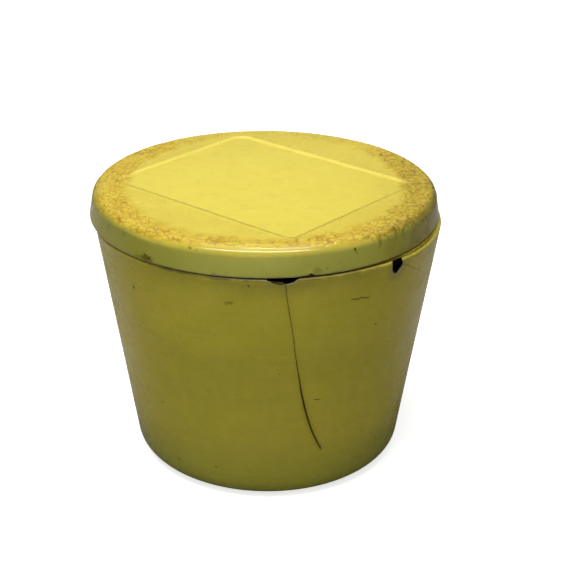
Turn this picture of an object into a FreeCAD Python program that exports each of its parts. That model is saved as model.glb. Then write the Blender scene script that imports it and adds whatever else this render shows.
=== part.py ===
import FreeCAD, Part
import math
import os

import Sketcher

# Round powder jar of early pressed plastic with a loose lift-off lid. All sizes in millimetres.
# The jar stands on the table at z = 0 with its axis on the origin. The lid lies a little back and to the left.

os.makedirs("parts", exist_ok=True)

doc = FreeCAD.newDocument("powder_jar")
sheet = doc.addObject("Spreadsheet::Sheet", "sizes")
sheet.Label = "sizes"

SIZES = [
    # jar
    ("base_radius", 40.27, "outer wall line carried down to the table"),
    ("rim_radius", 51.34, "outer wall line at the rim"),
    ("rim_height", 74.33, "top of the rim"),
    ("wall", 1.5, "shell wall, measured along the radius"),
    ("foot_round", 5.7, "outer rounding between wall and foot"),
    ("foot_inner_radius", 34.0, "free edge of the turned-in foot"),
    ("lip_inner_radius", 46.8, "free edge of the turned-in rim"),
    ("lip_thickness", 1.5, "turned-in rim"),
    ("rim_round", 0.75, "outer rounding of the rim"),
    ("lip_round", 0.6, "inner rounding of the rim"),
    # bowl that lines the jar
    ("cup_wall", 1.2, "bowl wall"),
    ("cup_floor", 5.6, "underside of the bowl floor"),
    ("cup_flange_radius", 49.1, "bowl flange under the turned-in rim"),
    ("cup_round", 9.0, "rounding at the bowl floor"),
    # disc that closes the foot
    ("disc_radius", 33.9, "disc inside the foot"),
    ("disc_step_radius", 35.2, "step that lies on the foot"),
    ("disc_step", 1.1, "height of the step"),
    # lid
    ("lid_shift_x", -1.08, "lid axis, sideways"),
    ("lid_shift_y", 2.41, "lid axis, front to back"),
    ("lid_edge_height", 74.73, "lower edge of the band"),
    ("lid_edge_radius", 51.93, "band at its lower edge"),
    ("lid_band_radius", 51.0, "band at its narrowest"),
    ("lid_waist_height", 79.0, "where the band stops narrowing"),
    ("lid_shoulder_height", 79.58, "where the shoulder starts"),
    ("lid_shoulder", 3.43, "shoulder rounding"),
    ("lid_dome", 0.3, "rise of the top over the shoulder"),
    ("lid_wall", 1.3, "lid wall"),
    ("lid_lip_radius", 48.3, "free edge of the turned-in band"),
    ("lid_lip", 1.1, "turned-in lower edge of the band"),
    ("lid_edge_round", 0.35, "rounding of the lower edge"),
    ("panel_diagonal", 44.15, "half diagonal of the sunk panel"),
    ("panel_depth", 0.45, "sunk panel below the top"),
    ("panel_bevel", 1.6, "width of the slope round the panel"),
    ("panel_round", 3.0, "corner rounding of the panel"),
    ("plate_radius", 49.4, "plate inside the lid"),
    ("plate_thickness", 1.1, "plate inside the lid"),
    ("collar_outer_radius", 43.5, "ring that drops inside the rim"),
    ("collar_inner_radius", 42.1, "ring that drops inside the rim"),
    ("collar_foot", 71.0, "lower edge of the ring"),
    # damage
    ("crack_width", 0.3, "open crack in the shell"),
]
VALUE = {}
for row, (alias, number, words) in enumerate(SIZES, start=1):
    sheet.set("A%d" % row, words)
    sheet.set("B%d" % row, str(number))
    sheet.setAlias("B%d" % row, alias)
    VALUE[alias] = number
doc.recompute()


class Size:
    """A number together with the same number as an expression of the sheet."""

    def __init__(self, value, text):
        self.value, self.text = value, text

    def __add__(self, other):
        o = size(other)
        return Size(self.value + o.value, "(%s + %s)" % (self.text, o.text))

    def __radd__(self, other):
        return size(other) + self

    def __sub__(self, other):
        o = size(other)
        return Size(self.value - o.value, "(%s - %s)" % (self.text, o.text))

    def __rsub__(self, other):
        return size(other) - self

    def __mul__(self, other):
        o = size(other)
        return Size(self.value * o.value, "(%s * %s)" % (self.text, o.text))

    def __rmul__(self, other):
        return size(other) * self

    def __truediv__(self, other):
        o = size(other)
        return Size(self.value / o.value, "(%s / %s)" % (self.text, o.text))


def size(x):
    if isinstance(x, Size):
        return x
    if isinstance(x, str):
        return Size(VALUE[x], "sizes." + x)
    return Size(float(x), "%.6f" % float(x) if x >= 0 else "(0 - %.6f)" % -float(x))


S = size


def body(name):
    b = doc.addObject("PartDesign::Body", name)
    b.Label = name
    return b


def origin_plane(b, role):
    return [f for f in b.Origin.OriginFeatures if f.Role == role][0]


def sketch(b, name, role, offset=None):
    s = b.newObject("Sketcher::SketchObject", name)
    s.AttachmentSupport = [(origin_plane(b, role), "")]
    s.MapMode = "FlatFace"
    if offset is not None:
        s.AttachmentOffset = offset
    return s


def hold(s, geo, pos, x, y):
    """Ties a point of the sketch to two sizes."""
    for kind, amount in (("DistanceX", x), ("DistanceY", y)):
        n = s.addConstraint(Sketcher.Constraint(kind, -1, 1, geo, pos, amount.value))
        s.setExpression("Constraints[%d]" % n, amount.text)


def outline(s, points):
    """A closed outline whose corners are all tied to sizes."""
    pts = [(size(x), size(y)) for x, y in points]
    n = len(pts)
    for i in range(n):
        a, c = pts[i], pts[(i + 1) % n]
        s.addGeometry(
            Part.LineSegment(
                FreeCAD.Vector(a[0].value, a[1].value, 0),
                FreeCAD.Vector(c[0].value, c[1].value, 0),
            ),
            False,
        )
    for i in range(n):
        s.addConstraint(Sketcher.Constraint("Coincident", i, 2, (i + 1) % n, 1))
    for i in range(n):
        hold(s, i, 1, pts[i][0], pts[i][1])


def circle(s, radius, x=None, y=None):
    g = s.addGeometry(
        Part.Circle(
            FreeCAD.Vector(0, 0, 0), FreeCAD.Vector(0, 0, 1), size(radius).value
        ),
        False,
    )
    s.addConstraint(Sketcher.Constraint("Coincident", g, 3, -1, 1))
    n = s.addConstraint(Sketcher.Constraint("Radius", g, size(radius).value))
    s.setExpression("Constraints[%d]" % n, size(radius).text)


def revolve(b, s, name):
    r = b.newObject("PartDesign::Revolution", name)
    r.Profile = s
    r.ReferenceAxis = (s, ["V_Axis"])
    r.Angle = 360.0
    s.Visibility = False
    b.Tip = r
    doc.recompute()
    return r


def pad(b, s, name, length):
    p = b.newObject("PartDesign::Pad", name)
    p.Profile = s
    p.setExpression("Length", size(length).text)
    p.Length = size(length).value
    b.Tip = p
    doc.recompute()
    return p


def ring_edges(feature, tests):
    """Names of the round edges at a given radius and height."""
    names = []
    for i, e in enumerate(feature.Shape.Edges, start=1):
        c = e.Curve
        if not isinstance(c, Part.Circle):
            continue
        for radius, height in tests:
            if (
                abs(c.Radius - size(radius).value) < 0.02
                and abs(c.Center.z - size(height).value) < 0.02
            ):
                names.append("Edge%d" % i)
    return names


def fillet(b, feature, name, tests, radius):
    names = ring_edges(feature, tests)
    if not names:
        raise RuntimeError("no edge for " + name)
    f = b.newObject("PartDesign::Fillet", name)
    f.Base = (feature, names)
    f.Radius = size(radius).value
    f.setExpression("Radius", size(radius).text)
    b.Tip = f
    doc.recompute()
    return f


def cut(b, s, name, through=True, length=None, side=1):
    """A pocket along the sketch's normal. It stops the build if nothing is cut."""
    before = b.Tip.Shape.Volume
    p = b.newObject("PartDesign::Pocket", name)
    p.Profile = s
    if through:
        p.Type = 1
    else:
        p.Type = 0
        p.Length = length
    p.Reversed = side < 0
    b.Tip = p
    doc.recompute()
    removed = before - p.Shape.Volume
    print("%s removes %.3f mm3" % (name, removed))
    if removed < 1e-3:
        raise RuntimeError(name + " cuts nothing")
    return p


def facing(azimuth, distance):
    """Placement, on the XZ plane, of a sketch whose normal points away from the axis at this azimuth."""
    # Sketches on XZ look along -Y: local x is +X, local y is +Z, the normal is -Y (azimuth -90).
    turn = azimuth + 90.0
    rot = FreeCAD.Rotation(FreeCAD.Vector(0, 1, 0), turn)
    return FreeCAD.Placement(rot.multVec(FreeCAD.Vector(0, 0, distance)), rot)


slope = (S("rim_radius") - "base_radius") / "rim_height"


def wall_outside(z):
    return S("base_radius") + slope * size(z)


def wall_inside(z):
    return wall_outside(z) - "wall"


# ---------------------------------------------------------------- outer shell
shell = body("jar_shell")
sk = sketch(shell, "shell_profile", "XZ_Plane")
under_lip = S("rim_height") - "lip_thickness"
outline(
    sk,
    [
        ("foot_inner_radius", 0),
        ("base_radius", 0),
        ("rim_radius", "rim_height"),
        ("lip_inner_radius", "rim_height"),
        ("lip_inner_radius", under_lip),
        (wall_inside(under_lip), under_lip),
        (wall_inside("wall"), "wall"),
        ("foot_inner_radius", "wall"),
    ],
)
rev = revolve(shell, sk, "shell_turned")
f1 = fillet(shell, rev, "foot_rounding", [("base_radius", 0)], "foot_round")
f2 = fillet(
    shell,
    f1,
    "foot_inner_rounding",
    [(wall_inside("wall"), "wall")],
    S("foot_round") - "wall",
)
f3 = fillet(shell, f2, "rim_rounding", [("rim_radius", "rim_height")], "rim_round")
f4 = fillet(
    shell, f3, "lip_rounding", [("lip_inner_radius", "rim_height")], "lip_round"
)


def damage(name, azimuth, distance, points):
    """A pocket through the shell from the given distance outwards. Points are sideways and height."""
    s = sketch(shell, name + "_outline", "XZ_Plane", facing(azimuth, distance))
    outline(s, points)
    doc.recompute()
    p = cut(shell, s, name, side=DIRECTION[0])
    return p


# A pocket removes material against the sketch normal, so it is reversed to go outwards.
DIRECTION = [-1]

# Broken-out piece of the rim at the front, a long shallow bite with its lowest point where the crack starts.
damage(
    "rim_chip_front",
    -84.2,
    47.9,
    [
        (-4.75, 76.5),
        (-4.65, 74.25),
        (-4.1, 73.95),
        (-2.0, 73.85),
        (-0.05, 73.8),
        (0.15, 73.35),
        (0.75, 73.2),
        (2.3, 73.65),
        (3.6, 73.95),
        (4.55, 74.35),
        (4.65, 76.5),
    ],
)
# Broken-out piece at the right of the front, a blunt wedge that reaches down into the wall.
damage(
    "rim_chip_right",
    -45.6,
    47.9,
    [
        (-2.1, 76.5),
        (-2.0, 74.0),
        (-1.95, 72.6),
        (-2.05, 71.5),
        (-1.6, 70.95),
        (-0.7, 70.6),
        (-0.1, 71.0),
        (0.9, 72.1),
        (1.8, 73.4),
        (2.2, 74.0),
        (2.15, 76.5),
    ],
)
# Open crack that runs down from the front chip and bends to the right.
CRACK = [
    (-83.75, 73.9),
    (-82.94, 67.92),
    (-81.71, 61.48),
    (-80.34, 53.95),
    (-78.84, 45.29),
    (-77.57, 39.21),
    (-75.71, 32.47),
    (-73.50, 26.46),
    (-70.97, 21.23),
    (-68.34, 17.11),
]
CRACK_AZIMUTH = -77.0
path = []
for azimuth, z in CRACK:
    r = wall_outside(z).value
    path.append((r * math.sin(math.radians(azimuth - CRACK_AZIMUTH)), z))
half = S("crack_width") / 2
left_side, right_side = [], []
for i, (x, z) in enumerate(path):
    before, after = path[max(i - 1, 0)], path[min(i + 1, len(path) - 1)]
    tx, tz = after[0] - before[0], after[1] - before[1]
    run = math.hypot(tx, tz)
    nx, nz = -tz / run, tx / run
    share = 1.0 if i < len(path) - 1 else 0.35
    left_side.append((x - half * (nx * share), z - half * (nz * share)))
    right_side.append((x + half * (nx * share), z + half * (nz * share)))
damage("wall_crack", CRACK_AZIMUTH, 36.0, left_side + right_side[::-1])

# ---------------------------------------------------------------- bowl inside
cup = body("inner_cup")
sk = sketch(cup, "cup_profile", "XZ_Plane")
flange_under = under_lip - "cup_wall"


def cup_inside(z):
    return S("lip_inner_radius") - slope * (under_lip - size(z))


floor_top = S("cup_floor") + "cup_wall"
outline(
    sk,
    [
        (0, "cup_floor"),
        (cup_inside("cup_floor") + "cup_wall", "cup_floor"),
        (cup_inside(flange_under) + "cup_wall", flange_under),
        ("cup_flange_radius", flange_under),
        ("cup_flange_radius", under_lip),
        ("lip_inner_radius", under_lip),
        (cup_inside(floor_top), floor_top),
        (0, floor_top),
    ],
)
rev = revolve(cup, sk, "cup_turned")
f1 = fillet(
    cup,
    rev,
    "cup_outer_rounding",
    [(cup_inside("cup_floor") + "cup_wall", "cup_floor")],
    "cup_round",
)
fillet(
    cup,
    f1,
    "cup_inner_rounding",
    [(cup_inside(floor_top), floor_top)],
    S("cup_round") - "cup_wall",
)

# ---------------------------------------------------------------- disc in the foot
disc = body("base_disc")
sk = sketch(disc, "disc_outline", "XY_Plane")
circle(sk, "disc_radius")
doc.recompute()
p1 = pad(disc, sk, "disc_pad", "wall")
sk = sketch(
    disc,
    "disc_step_outline",
    "XY_Plane",
    FreeCAD.Placement(FreeCAD.Vector(0, 0, VALUE["wall"]), FreeCAD.Rotation()),
)
sk.setExpression("AttachmentOffset.Base.z", "sizes.wall")
circle(sk, "disc_step_radius")
doc.recompute()
p2 = pad(disc, sk, "disc_step_pad", "disc_step")
c = disc.newObject("PartDesign::Chamfer", "disc_chamfer")
c.Base = (p2, ring_edges(p2, [("disc_radius", 0)]))
c.Size = 0.3
disc.Tip = c
doc.recompute()


def on_lid(b):
    b.Placement = FreeCAD.Placement(
        FreeCAD.Vector(VALUE["lid_shift_x"], VALUE["lid_shift_y"], 0),
        FreeCAD.Rotation(),
    )
    b.setExpression("Placement.Base.x", "sizes.lid_shift_x")
    b.setExpression("Placement.Base.y", "sizes.lid_shift_y")


# ---------------------------------------------------------------- lid cover
lid = body("lid_cover")
on_lid(lid)
sk = sketch(lid, "lid_profile", "XZ_Plane")
edge_z, top_z = S("lid_edge_height"), S("lid_shoulder_height") + "lid_shoulder"
lip_top = edge_z + "lid_lip"
flat_r = S("lid_band_radius") - "lid_shoulder"
crown = top_z + "lid_dome"


def band(z):
    """Band radius between its lower edge and its waist."""
    share = (size(z) - edge_z) / (S("lid_waist_height") - edge_z)
    return S("lid_edge_radius") - (S("lid_edge_radius") - "lid_band_radius") * share


outline(
    sk,
    [
        ("lid_lip_radius", edge_z),
        ("lid_edge_radius", edge_z),
        ("lid_band_radius", "lid_waist_height"),
        ("lid_band_radius", top_z),
        (flat_r, top_z),
        (flat_r * 0.55, top_z + S("lid_dome") * 0.7),
        (0, crown),
        (0, crown - "lid_wall" - "panel_depth"),
        (
            flat_r * 0.55,
            top_z + S("lid_dome") * 0.7 - "lid_wall" - "panel_depth",
        ),
        (flat_r, top_z - "lid_wall" - "panel_depth"),
        (S("lid_band_radius") - "lid_wall", top_z - "lid_wall" - "panel_depth"),
        (S("lid_band_radius") - "lid_wall", "lid_waist_height"),
        (band(lip_top) - "lid_wall", lip_top),
        ("lid_lip_radius", lip_top),
    ],
)
rev = revolve(lid, sk, "lid_turned")
f1 = fillet(
    lid, rev, "shoulder_rounding", [("lid_band_radius", top_z)], S("lid_shoulder") * 0.995
)
f2 = fillet(
    lid,
    f1,
    "shoulder_inner_rounding",
    [(S("lid_band_radius") - "lid_wall", top_z - "lid_wall" - "panel_depth")],
    S("lid_shoulder") * 0.6,
)
f3 = fillet(
    lid, f2, "edge_rounding", [("lid_edge_radius", edge_z)], "lid_edge_round"
)

# Sunk panel: a rectangle whose corners lie on one circle, so its diagonals are equal.
PANEL_CENTRE = (-0.1, -0.7)
PANEL_ANGLES = (-0.8, 101.0)


def panel_corners(grow):
    """Corners of the panel, moved outwards by grow on every side."""
    a0, a1 = (math.radians(a) for a in PANEL_ANGLES)
    d0, d1 = (math.cos(a0), math.sin(a0)), (math.cos(a1), math.sin(a1))
    r = VALUE["panel_diagonal"]
    base = [
        (r * d0[0], r * d0[1]),
        (r * d1[0], r * d1[1]),
        (-r * d0[0], -r * d0[1]),
        (-r * d1[0], -r * d1[1]),
    ]
    out = []
    for i in range(4):
        x, y = base[i]
        px, py = base[i - 1]
        qx, qy = base[(i + 1) % 4]
        ax, ay = x - px, y - py
        bx, by = x - qx, y - qy
        la, lb = math.hypot(ax, ay), math.hypot(bx, by)
        out.append(
            (
                PANEL_CENTRE[0] + x + grow * (ax / la + bx / lb),
                PANEL_CENTRE[1] + y + grow * (ay / la + by / lb),
            )
        )
    return out


def rounded(s, corners, radius):
    """A rounded four-sided outline with its straight ends tied to their places."""
    n = len(corners)
    ends = []
    for i in range(n):
        x, y = corners[i]
        px, py = corners[i - 1]
        qx, qy = corners[(i + 1) % n]
        la, lb = math.hypot(px - x, py - y), math.hypot(qx - x, qy - y)
        ends.append(
            (
                (x + (px - x) / la * radius, y + (py - y) / la * radius),
                (x + (qx - x) / lb * radius, y + (qy - y) / lb * radius),
                (
                    x + ((px - x) / la + (qx - x) / lb) * radius,
                    y + ((py - y) / la + (qy - y) / lb) * radius,
                ),
            )
        )
    for i in range(n):
        start, end, mid = ends[i]
        a = math.atan2(start[1] - mid[1], start[0] - mid[0])
        b_ = math.atan2(end[1] - mid[1], end[0] - mid[0])
        while b_ < a:
            b_ += 2 * math.pi
        s.addGeometry(
            Part.ArcOfCircle(
                Part.Circle(
                    FreeCAD.Vector(mid[0], mid[1], 0), FreeCAD.Vector(0, 0, 1), radius
                ),
                a,
                b_,
            ),
            False,
        )
        nxt = ends[(i + 1) % n][0]
        s.addGeometry(
            Part.LineSegment(
                FreeCAD.Vector(end[0], end[1], 0), FreeCAD.Vector(nxt[0], nxt[1], 0)
            ),
            False,
        )
    for i in range(n):
        arc, line, after = 2 * i, 2 * i + 1, (2 * i + 2) % (2 * n)
        s.addConstraint(Sketcher.Constraint("Tangent", arc, 2, line, 1))
        s.addConstraint(Sketcher.Constraint("Tangent", line, 2, after, 1))
    for i in range(n):
        s.addConstraint(
            Sketcher.Constraint("DistanceX", -1, 1, 2 * i, 3, ends[i][2][0])
        )
        s.addConstraint(
            Sketcher.Constraint("DistanceY", -1, 1, 2 * i, 3, ends[i][2][1])
        )
    k = s.addConstraint(Sketcher.Constraint("Radius", 0, radius))
    return k


def at_height(z):
    return FreeCAD.Placement(FreeCAD.Vector(0, 0, size(z).value), FreeCAD.Rotation())


mouth_z = crown + 0.2
panel_floor = top_z - "panel_depth"
upper = sketch(lid, "panel_mouth", "XY_Plane", at_height(mouth_z))
upper.setExpression("AttachmentOffset.Base.z", mouth_z.text)
# The slope runs on past the top, so that it is cut by the domed surface.
rise = (mouth_z - panel_floor).value
run_out = VALUE["panel_bevel"] * (rise / VALUE["panel_depth"] - 0.5)
rounded(upper, panel_corners(run_out), VALUE["panel_round"] + run_out)
lower = sketch(lid, "panel_floor", "XY_Plane", at_height(panel_floor))
lower.setExpression("AttachmentOffset.Base.z", panel_floor.text)
rounded(
    lower,
    panel_corners(-VALUE["panel_bevel"] * 0.5),
    VALUE["panel_round"] - VALUE["panel_bevel"] * 0.5,
)
doc.recompute()
before = lid.Tip.Shape.Volume
loft = lid.newObject("PartDesign::SubtractiveLoft", "sunk_panel")
loft.Profile = lower
loft.Sections = [upper]
loft.Ruled = True
lid.Tip = loft
doc.recompute()
print("sunk_panel removes %.2f mm3" % (before - loft.Shape.Volume))

# ---------------------------------------------------------------- plate inside the lid
plate = body("lid_inner_plate")
on_lid(plate)
sk = sketch(plate, "plate_outline", "XY_Plane", at_height(lip_top))
sk.setExpression("AttachmentOffset.Base.z", lip_top.text)
circle(sk, "plate_radius")
doc.recompute()
pad(plate, sk, "plate_pad", "plate_thickness")

# ---------------------------------------------------------------- locating ring
collar = body("lid_collar")
on_lid(collar)
sk = sketch(collar, "collar_profile", "XZ_Plane")
outline(
    sk,
    [
        ("collar_inner_radius", "collar_foot"),
        ("collar_outer_radius", "collar_foot"),
        ("collar_outer_radius", lip_top),
        ("collar_inner_radius", lip_top),
    ],
)
rev = revolve(collar, sk, "collar_turned")
fillet(
    collar,
    rev,
    "collar_rounding",
    [("collar_inner_radius", "collar_foot"), ("collar_outer_radius", "collar_foot")],
    S("collar_outer_radius") * 0 + 0.5,
)

doc.recompute()
for o in doc.Objects:
    if "Invalid" in o.State or "Error" in o.State:
        raise RuntimeError("%s is %s" % (o.Name, o.State))
for b in (shell, cup, disc, lid, plate, collar):
    shape = b.Shape
    if shape.isNull() or not shape.isValid() or len(shape.Solids) != 1:
        raise RuntimeError("%s has no single valid solid" % b.Label)
    shape.exportStep("parts/%s.step" % b.Label)
    box = shape.BoundBox
    print(
        "%s: volume %.1f mm3, x %.2f..%.2f, y %.2f..%.2f, z %.2f..%.2f, %d faces"
        % (
            b.Label,
            shape.Volume,
            box.XMin,
            box.XMax,
            box.YMin,
            box.YMax,
            box.ZMin,
            box.ZMax,
            len(shape.Faces),
        )
    )
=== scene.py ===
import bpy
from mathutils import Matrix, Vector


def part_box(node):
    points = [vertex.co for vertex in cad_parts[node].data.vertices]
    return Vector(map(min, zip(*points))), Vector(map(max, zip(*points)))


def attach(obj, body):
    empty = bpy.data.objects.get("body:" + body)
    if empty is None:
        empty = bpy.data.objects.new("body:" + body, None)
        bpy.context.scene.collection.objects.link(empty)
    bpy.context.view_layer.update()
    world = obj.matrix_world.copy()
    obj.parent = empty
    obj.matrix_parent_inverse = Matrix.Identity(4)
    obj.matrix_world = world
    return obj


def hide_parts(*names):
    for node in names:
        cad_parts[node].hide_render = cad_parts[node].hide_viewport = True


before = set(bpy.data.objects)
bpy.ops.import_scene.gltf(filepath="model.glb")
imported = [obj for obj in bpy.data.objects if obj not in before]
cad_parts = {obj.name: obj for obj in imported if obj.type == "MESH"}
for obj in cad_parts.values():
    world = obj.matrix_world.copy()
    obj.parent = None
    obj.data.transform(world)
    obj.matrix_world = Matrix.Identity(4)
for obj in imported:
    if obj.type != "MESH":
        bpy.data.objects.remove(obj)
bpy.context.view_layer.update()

import math
import random

import bpy
import numpy as np
from mathutils import Matrix, Vector, kdtree, noise

MM = 0.001

# ================================================================== sizes, in mm, from the frame
def node_mm(node):
    low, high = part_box(node)
    return [c / MM for c in low], [c / MM for c in high]


(_, _, _), (RIM_R, _, RIM_H) = node_mm("jar_shell")
lo_, hi_ = node_mm("lid_cover")
LID_R = (hi_[0] - lo_[0]) / 2
LID_X, LID_Y = (hi_[0] + lo_[0]) / 2, (hi_[1] + lo_[1]) / 2
LID_LOW, LID_TOP = lo_[2], hi_[2]
lo_, hi_ = node_mm("lid_collar")
COLLAR_R, COLLAR_LOW, COLLAR_HIGH = (hi_[0] - lo_[0]) / 2, lo_[2], hi_[2]
lo_, hi_ = node_mm("lid_inner_plate")
PLATE_R, PLATE_LOW, PLATE_HIGH = (hi_[0] - lo_[0]) / 2, lo_[2], hi_[2]
lo_, hi_ = node_mm("inner_cup")
CUP_R, CUP_LOW, CUP_HIGH = (hi_[0] - lo_[0]) / 2, lo_[2], hi_[2]
lo_, hi_ = node_mm("base_disc")
DISC_STEP_R, DISC_HIGH = (hi_[0] - lo_[0]) / 2, hi_[2]

RIM_LINE = 51.34
BASE_LINE = 40.27
SLOPE = (RIM_LINE - BASE_LINE) / RIM_H
LEAN = math.degrees(math.atan(SLOPE))
WALL = 1.5
LIP_R = 46.8
UNDER_LIP = RIM_H - 1.5
FOOT = 5.7
CUP_WALL = 1.2
DISC_R = 33.9
BAND_R = 51.0
WAIST = 79.0
SHOULDER_Z = 79.58
SHOULDER = 3.43
TOP_Z = SHOULDER_Z + SHOULDER
DOME = LID_TOP - TOP_Z
PANEL_DEPTH = 0.45
PANEL_BEVEL = 1.7


def wall_r(z):
    return BASE_LINE + SLOPE * z


# ================================================================== small mesh tools
def finish_shading(me, angle):
    me.polygons.foreach_set("use_smooth", [True] * len(me.polygons))
    me.set_sharp_from_angle(angle=math.radians(angle))
    me.update()


def make_piece(name, verts_mm, faces, materials, face_material=None, smooth=42):
    me = bpy.data.meshes.new(name)
    v = np.asarray(verts_mm, float) * MM
    me.from_pydata(v.tolist(), [], faces)
    for m in materials:
        me.materials.append(m)
    if face_material is not None:
        me.polygons.foreach_set("material_index", np.asarray(face_material, np.int32))
    ob = bpy.data.objects.new(name, me)
    bpy.context.scene.collection.objects.link(ob)
    finish_shading(me, smooth)
    return ob


def arc(cx, cz, r, a0, a1, n):
    """Points of an arc in the radius-height plane, angles in degrees."""
    out = []
    for i in range(n + 1):
        a = math.radians(a0 + (a1 - a0) * i / n)
        out.append((cx + r * math.cos(a), cz + r * math.sin(a)))
    return out


def run(a, b, step):
    """Points from a up to but not including b, no further apart than step."""
    n = max(1, int(math.ceil(math.hypot(b[0] - a[0], b[1] - a[1]) / step)))
    return [(a[0] + (b[0] - a[0]) * i / n, a[1] + (b[1] - a[1]) * i / n) for i in range(n)]


class Lathe:
    """Rings stacked into one skin. A ring may have half or twice the points of the ring before it."""

    def __init__(self):
        self.verts, self.faces, self.tags = [], [], []
        self.last = self.first = None

    def ring(self, angles, radius, height, tag=0):
        start, n = len(self.verts), len(angles)
        for a in angles:
            self.verts.append((radius * math.cos(a), radius * math.sin(a), height))
        if self.last is None:
            self.first = (start, n)
        else:
            self.join(self.last, (start, n), tag)
        self.last = (start, n)
        return start

    def join(self, one, two, tag):
        (s0, n0), (s1, n1) = one, two
        if n0 == n1:
            for i in range(n0):
                j = (i + 1) % n0
                self.faces.append((s0 + i, s0 + j, s1 + j, s1 + i))
            self.tags += [tag] * n0
        elif n0 == 2 * n1:
            for i in range(n1):
                j = (i + 1) % n1
                a, b, c = s0 + 2 * i, s0 + 2 * i + 1, s0 + (2 * i + 2) % n0
                self.faces += [(a, b, s1 + i), (b, c, s1 + j), (b, s1 + j, s1 + i)]
            self.tags += [tag] * 3 * n1
        elif n1 == 2 * n0:
            for i in range(n0):
                j = (i + 1) % n0
                a, b, c = s1 + 2 * i, s1 + 2 * i + 1, s1 + (2 * i + 2) % n1
                self.faces += [(s0 + i, b, a), (s0 + i, s0 + j, b), (s0 + j, c, b)]
            self.tags += [tag] * 3 * n0
        else:
            raise ValueError("rings do not match")

    def pole_first(self, height):
        """Closes the first ring on the axis. Called once the first ring is in."""
        p = len(self.verts)
        self.verts.append((0, 0, height))
        s, n = self.first
        for i in range(n):
            self.faces.append((p, s + (i + 1) % n, s + i))
        self.tags += [0] * n

    def pole_last(self, height, tag=0):
        p = len(self.verts)
        self.verts.append((0, 0, height))
        s, n = self.last
        for i in range(n):
            self.faces.append((s + i, s + (i + 1) % n, p))
        self.tags += [tag] * n

    def loop(self, tag=0):
        self.join(self.last, self.first, tag)


def even(n):
    return [2 * math.pi * i / n for i in range(n)]


def wave(x, y, z, scale, seed=0.0):
    """Smooth seeded noise, about -1 to 1."""
    return noise.noise(Vector((x / scale + seed, y / scale - seed * 0.7, z / scale + seed * 1.3)))


def step01(x, a, b):
    """Smooth 0 to 1 as x goes from a to b."""
    t = min(1.0, max(0.0, (x - a) / (b - a)))
    return t * t * (3 - 2 * t)


def np_step(x, a, b):
    t = np.clip((x - a) / (b - a), 0, 1)
    return t * t * (3 - 2 * t)


# the crack in the wall: azimuth in degrees, height
CRACK = [
    (-83.90, 75.2), (-83.75, 73.9), (-83.35, 71.0), (-82.94, 67.92), (-82.30, 64.6), (-81.71, 61.48),
    (-81.00, 57.8), (-80.34, 53.95), (-79.62, 49.6), (-78.84, 45.29), (-78.22, 42.3), (-77.57, 39.21),
    (-76.72, 35.9), (-75.71, 32.47), (-74.70, 29.5), (-73.50, 26.46), (-72.30, 23.8), (-70.97, 21.23),
    (-69.70, 19.1), (-68.34, 17.11), (-67.90, 16.3),
]
# how far the old rim has drawn in, by azimuth: it sits just under the lid's edge in front
RIM_PULL = [
    (-180, 0.0), (-150, 0.0), (-140, 0.5), (-125, 1.3), (-110, 1.7), (-92, 1.8), (-68, 1.75), (-58, 1.5),
    (-50, 1.0), (-42, 0.5), (-34, 0.05), (-28, 0.0), (180, 0.0),
]


def rim_pull(azimuth, z):
    """azimuth in degrees; how far the outer wall stands in from its true cone at height z."""
    w = np.interp(azimuth, [a for a, _ in RIM_PULL], [p for _, p in RIM_PULL])
    return w * np_step(np.asarray(z, float), 48.0, 73.0)


def volume_of(me):
    import bmesh

    bm = bmesh.new()
    bm.from_mesh(me)
    v = bm.calc_volume(signed=True)
    bm.free()
    return v


def cut_with(ob, cutter):
    """Takes the cutter away from ob for good. Cut faces keep the cutter's own material.
    Every cut here is small, so one that takes a large share of the piece has gone wrong."""
    before = volume_of(ob.data)
    m = ob.modifiers.new("cut", "BOOLEAN")
    m.operation = "DIFFERENCE"
    m.object = cutter
    m.solver = "EXACT"
    m.material_mode = "TRANSFER"
    bpy.context.view_layer.update()
    dg = bpy.context.evaluated_depsgraph_get()
    made = bpy.data.meshes.new_from_object(
        ob.evaluated_get(dg), preserve_all_data_layers=True, depsgraph=dg
    )
    ob.modifiers.clear()
    if volume_of(made) < 0.97 * before:
        raise RuntimeError("cut %s took away too much of %s" % (cutter.name, ob.name))
    old = ob.data
    ob.data = made
    made.name = old.name + "_cut"
    bpy.data.meshes.remove(old)
    bpy.data.objects.remove(cutter)


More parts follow.
